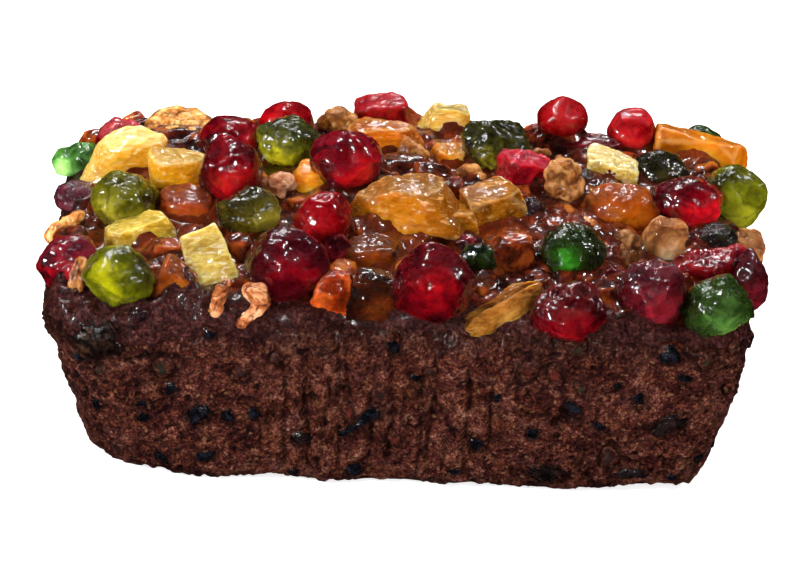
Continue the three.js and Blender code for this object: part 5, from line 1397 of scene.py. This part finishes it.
# -------------------------------------------------------------------- syrup
SX, SY = 290, 160
A, B = np.meshgrid(np.linspace(-1, 1, SX + 1), np.linspace(-1, 1, SY + 1), indexing='ij')
A, B = A.ravel(), B.ravel()
def top_plan(e):
    return rounded_plan(A, B, TL / 2 - e, TW / 2 - e, corner_radius(A, B, 1.0) - 0.5 * e)
x, y = top_plan(2.6 + 0 * A)
flat = np.stack([x, y, 0 * x], 1)
front_left = smooth(-30, -70, x) * smooth(-25, -45, y)
edge_in = 2.6 + 1.5 * fbm(flat, 9.0, 131, 2) - 2.0 * front_left
edge_in = np.clip(edge_in, 0.15, 5.0)
x, y = top_plan(edge_in)
flat = np.stack([x, y, 0 * x], 1)
c = corner_radius(A, B, 1.0)
cx, cy = np.maximum(np.abs(x) - (TL / 2 - c), 0), np.maximum(np.abs(y) - (TW / 2 - c), 0)
inset = np.where((cx > 0) & (cy > 0), c - np.hypot(cx, cy), np.minimum(TL / 2 - np.abs(x), TW / 2 - np.abs(y)))
ph = np.arccos(np.clip(1 - np.clip(inset, 0, RIM_ROUND) / RIM_ROUND, -1, 1))
surf = dome_height(x, y) - RIM_ROUND * (1 - np.sin(ph)) + nest_lift(x, y) * np.sin(ph) \
    + RIM_WAVE * np.sin(ph) * wave(flat / 30.0, 7, 6)
room = clearance(x, y, surf)
P3 = np.c_[x, y, surf]
lump = 0.8 * fbm(P3, 7.5, 141, 2) + 0.17 * fbm(P3, 2.6, 151, 2)
lump = lump + front_left * (1.5 * ridged(P3, 5.5, 161) + 0.8 * ridged(P3, 2.4, 163) + 0.4 * ridged(P3, 1.3, 165) + 0.5)
edge_dist = inset - edge_in
thick = (1.2 + lump) * smooth(0, 2.6, edge_dist) - 0.7 * smooth(1.2, 0.0, edge_dist)
fillet = 2.6 * np.exp(-np.maximum(room, 0) / 1.6) * smooth(0, 2.5, edge_dist)
fine_lump = 0.03 * vnoise(P3, 1.1, 171) * (1 + 3 * front_left)
zs = surf + np.maximum(thick, -0.8) + fillet + fine_lump
near_orange = np.zeros(len(x))
for name, form, at, size, turn, shape in TOPPINGS:
    if name.startswith(('orange', 'peel', 'pineapple')):
        d2 = ((x - at[0]) / (size[0] / 2 + 3)) ** 2 + ((y - at[1] + 2) / (size[1] / 2 + 3)) ** 2
        near_orange = np.maximum(near_orange, np.exp(-d2) * (1.0 if not name.startswith('pine') else 0.6))
gi = np.arange((SX + 1) * (SY + 1)).reshape(SX + 1, SY + 1)
GQ = np.stack([gi[:-1, :-1], gi[1:, :-1], gi[1:, 1:], gi[:-1, 1:]], -1).reshape(-1, 4)
border = np.concatenate([gi[:-1, 0], gi[-1, :-1], gi[:0:-1, -1], gi[0, :0:-1]])
reach = front_left * smooth(9, 2, inset) * (1.3 + 0.9 * ridged(P3, 4.5, 167) + 0.4 * ridged(P3, 1.8, 169))
Vs = np.c_[x - 0.8 * reach * smooth(-60, -88, x), y - 0.7 * reach, zs]
skirt = Vs[border] * np.array([0.965, 0.94, 1]) - np.array([0, 0, 4.0])
nb = len(border)
si = len(Vs) + np.arange(nb)
SK = np.stack([border, si, np.roll(si, -1), np.roll(border, -1)], -1)
Vall = np.concatenate([Vs, skirt])
# painted shade in the dips of the syrup, less next to the pieces
painted_shade_mix = smooth(0.1, -0.9, lump) * (1 - 0.6 * np.exp(-np.maximum(room, 0) / 1.5))
rim = np.clip(smooth(11, 4, inset) + 0.9 * front_left, 0, 1)
ob = add_mesh("v_syrup", Vall, [GQ, SK, si[::-1].reshape(1, -1)], syrup_material(),
              attrs={'painted_shade': np.r_[painted_shade_mix, np.ones(nb)], 'web': np.r_[near_orange, np.zeros(nb)], 'rim': np.r_[rim, np.ones(nb)]})

# ------------------------------------------------------ floor, light, world
def plain(name, colour, emit=0.0):
    m = bpy.data.materials.new(name)
    m.use_nodes = True
    p = m.node_tree.nodes['Principled BSDF']
    p.inputs['Base Color'].default_value = colour
    p.inputs['Roughness'].default_value = 0.9
    p.inputs['Specular IOR Level'].default_value = 0.1
    p.inputs['Emission Color'].default_value = (1, 1, 1, 1)
    p.inputs['Emission Strength'].default_value = emit
    return m

bpy.ops.mesh.primitive_plane_add(size=30, location=(0, 0, -0.0004))
floor = bpy.context.object
floor.name = "floor"
floor.data.materials.append(plain("floor_white", (0.9, 0.9, 0.9, 1), 0.62))
floor.visible_glossy = False

def softbox(name, at, aim, size, power, colour=(1, 1, 1), glossy=True):
    light = bpy.data.lights.new(name, 'AREA')
    light.shape = 'RECTANGLE'
    light.size, light.size_y = size
    light.energy = power
    light.color = colour
    o = bpy.data.objects.new(name, light)
    o.location = at
    o.visible_glossy = glossy
    o.rotation_euler = (Vector(aim) - Vector(at)).to_track_quat('-Z', 'Y').to_euler()
    bpy.context.scene.collection.objects.link(o)
    return o

softbox("light_back_soft", (0.0, 1.0, 1.1), (0, 0, 0.05), (1.3, 0.8), 13.0, glossy=False)
softbox("light_back_strip", (-0.1, 0.85, 1.25), (0, 0, 0.05), (0.55, 0.035), 5.0)
softbox("light_back_low", (0.1, 1.4, 0.75), (0, 0, 0.05), (0.5, 0.028), 2.8)
softbox("light_left", (-0.75, -0.5, 0.55), (0, 0, 0.05), (0.11, 0.11), 7.0)
softbox("light_window", (-0.45, 0.5, 1.35), (0, 0, 0.05), (0.15, 0.24), 6.0)
softbox("light_right", (0.8, 0.1, 0.9), (0, 0, 0.05), (0.05, 0.2), 4.0)
softbox("light_front_small", (-0.4, -1.2, 0.62), (0, 0, 0.04), (0.07, 0.07), 2.2)
softbox("light_front", (0.25, -1.3, 0.75), (0, 0, 0.03), (0.9, 0.6), 9.0, glossy=False)

world = bpy.data.worlds.new("world")
bpy.context.scene.world = world
world.use_nodes = True
world.node_tree.nodes['Background'].inputs[0].default_value = (1, 1, 1, 1)
world.node_tree.nodes['Background'].inputs[1].default_value = 0.32
world.cycles_visibility.glossy = False

scn = bpy.context.scene
scn.view_settings.view_transform = 'Standard'
scn.view_settings.look = 'None'
scn.view_settings.exposure = 0.0
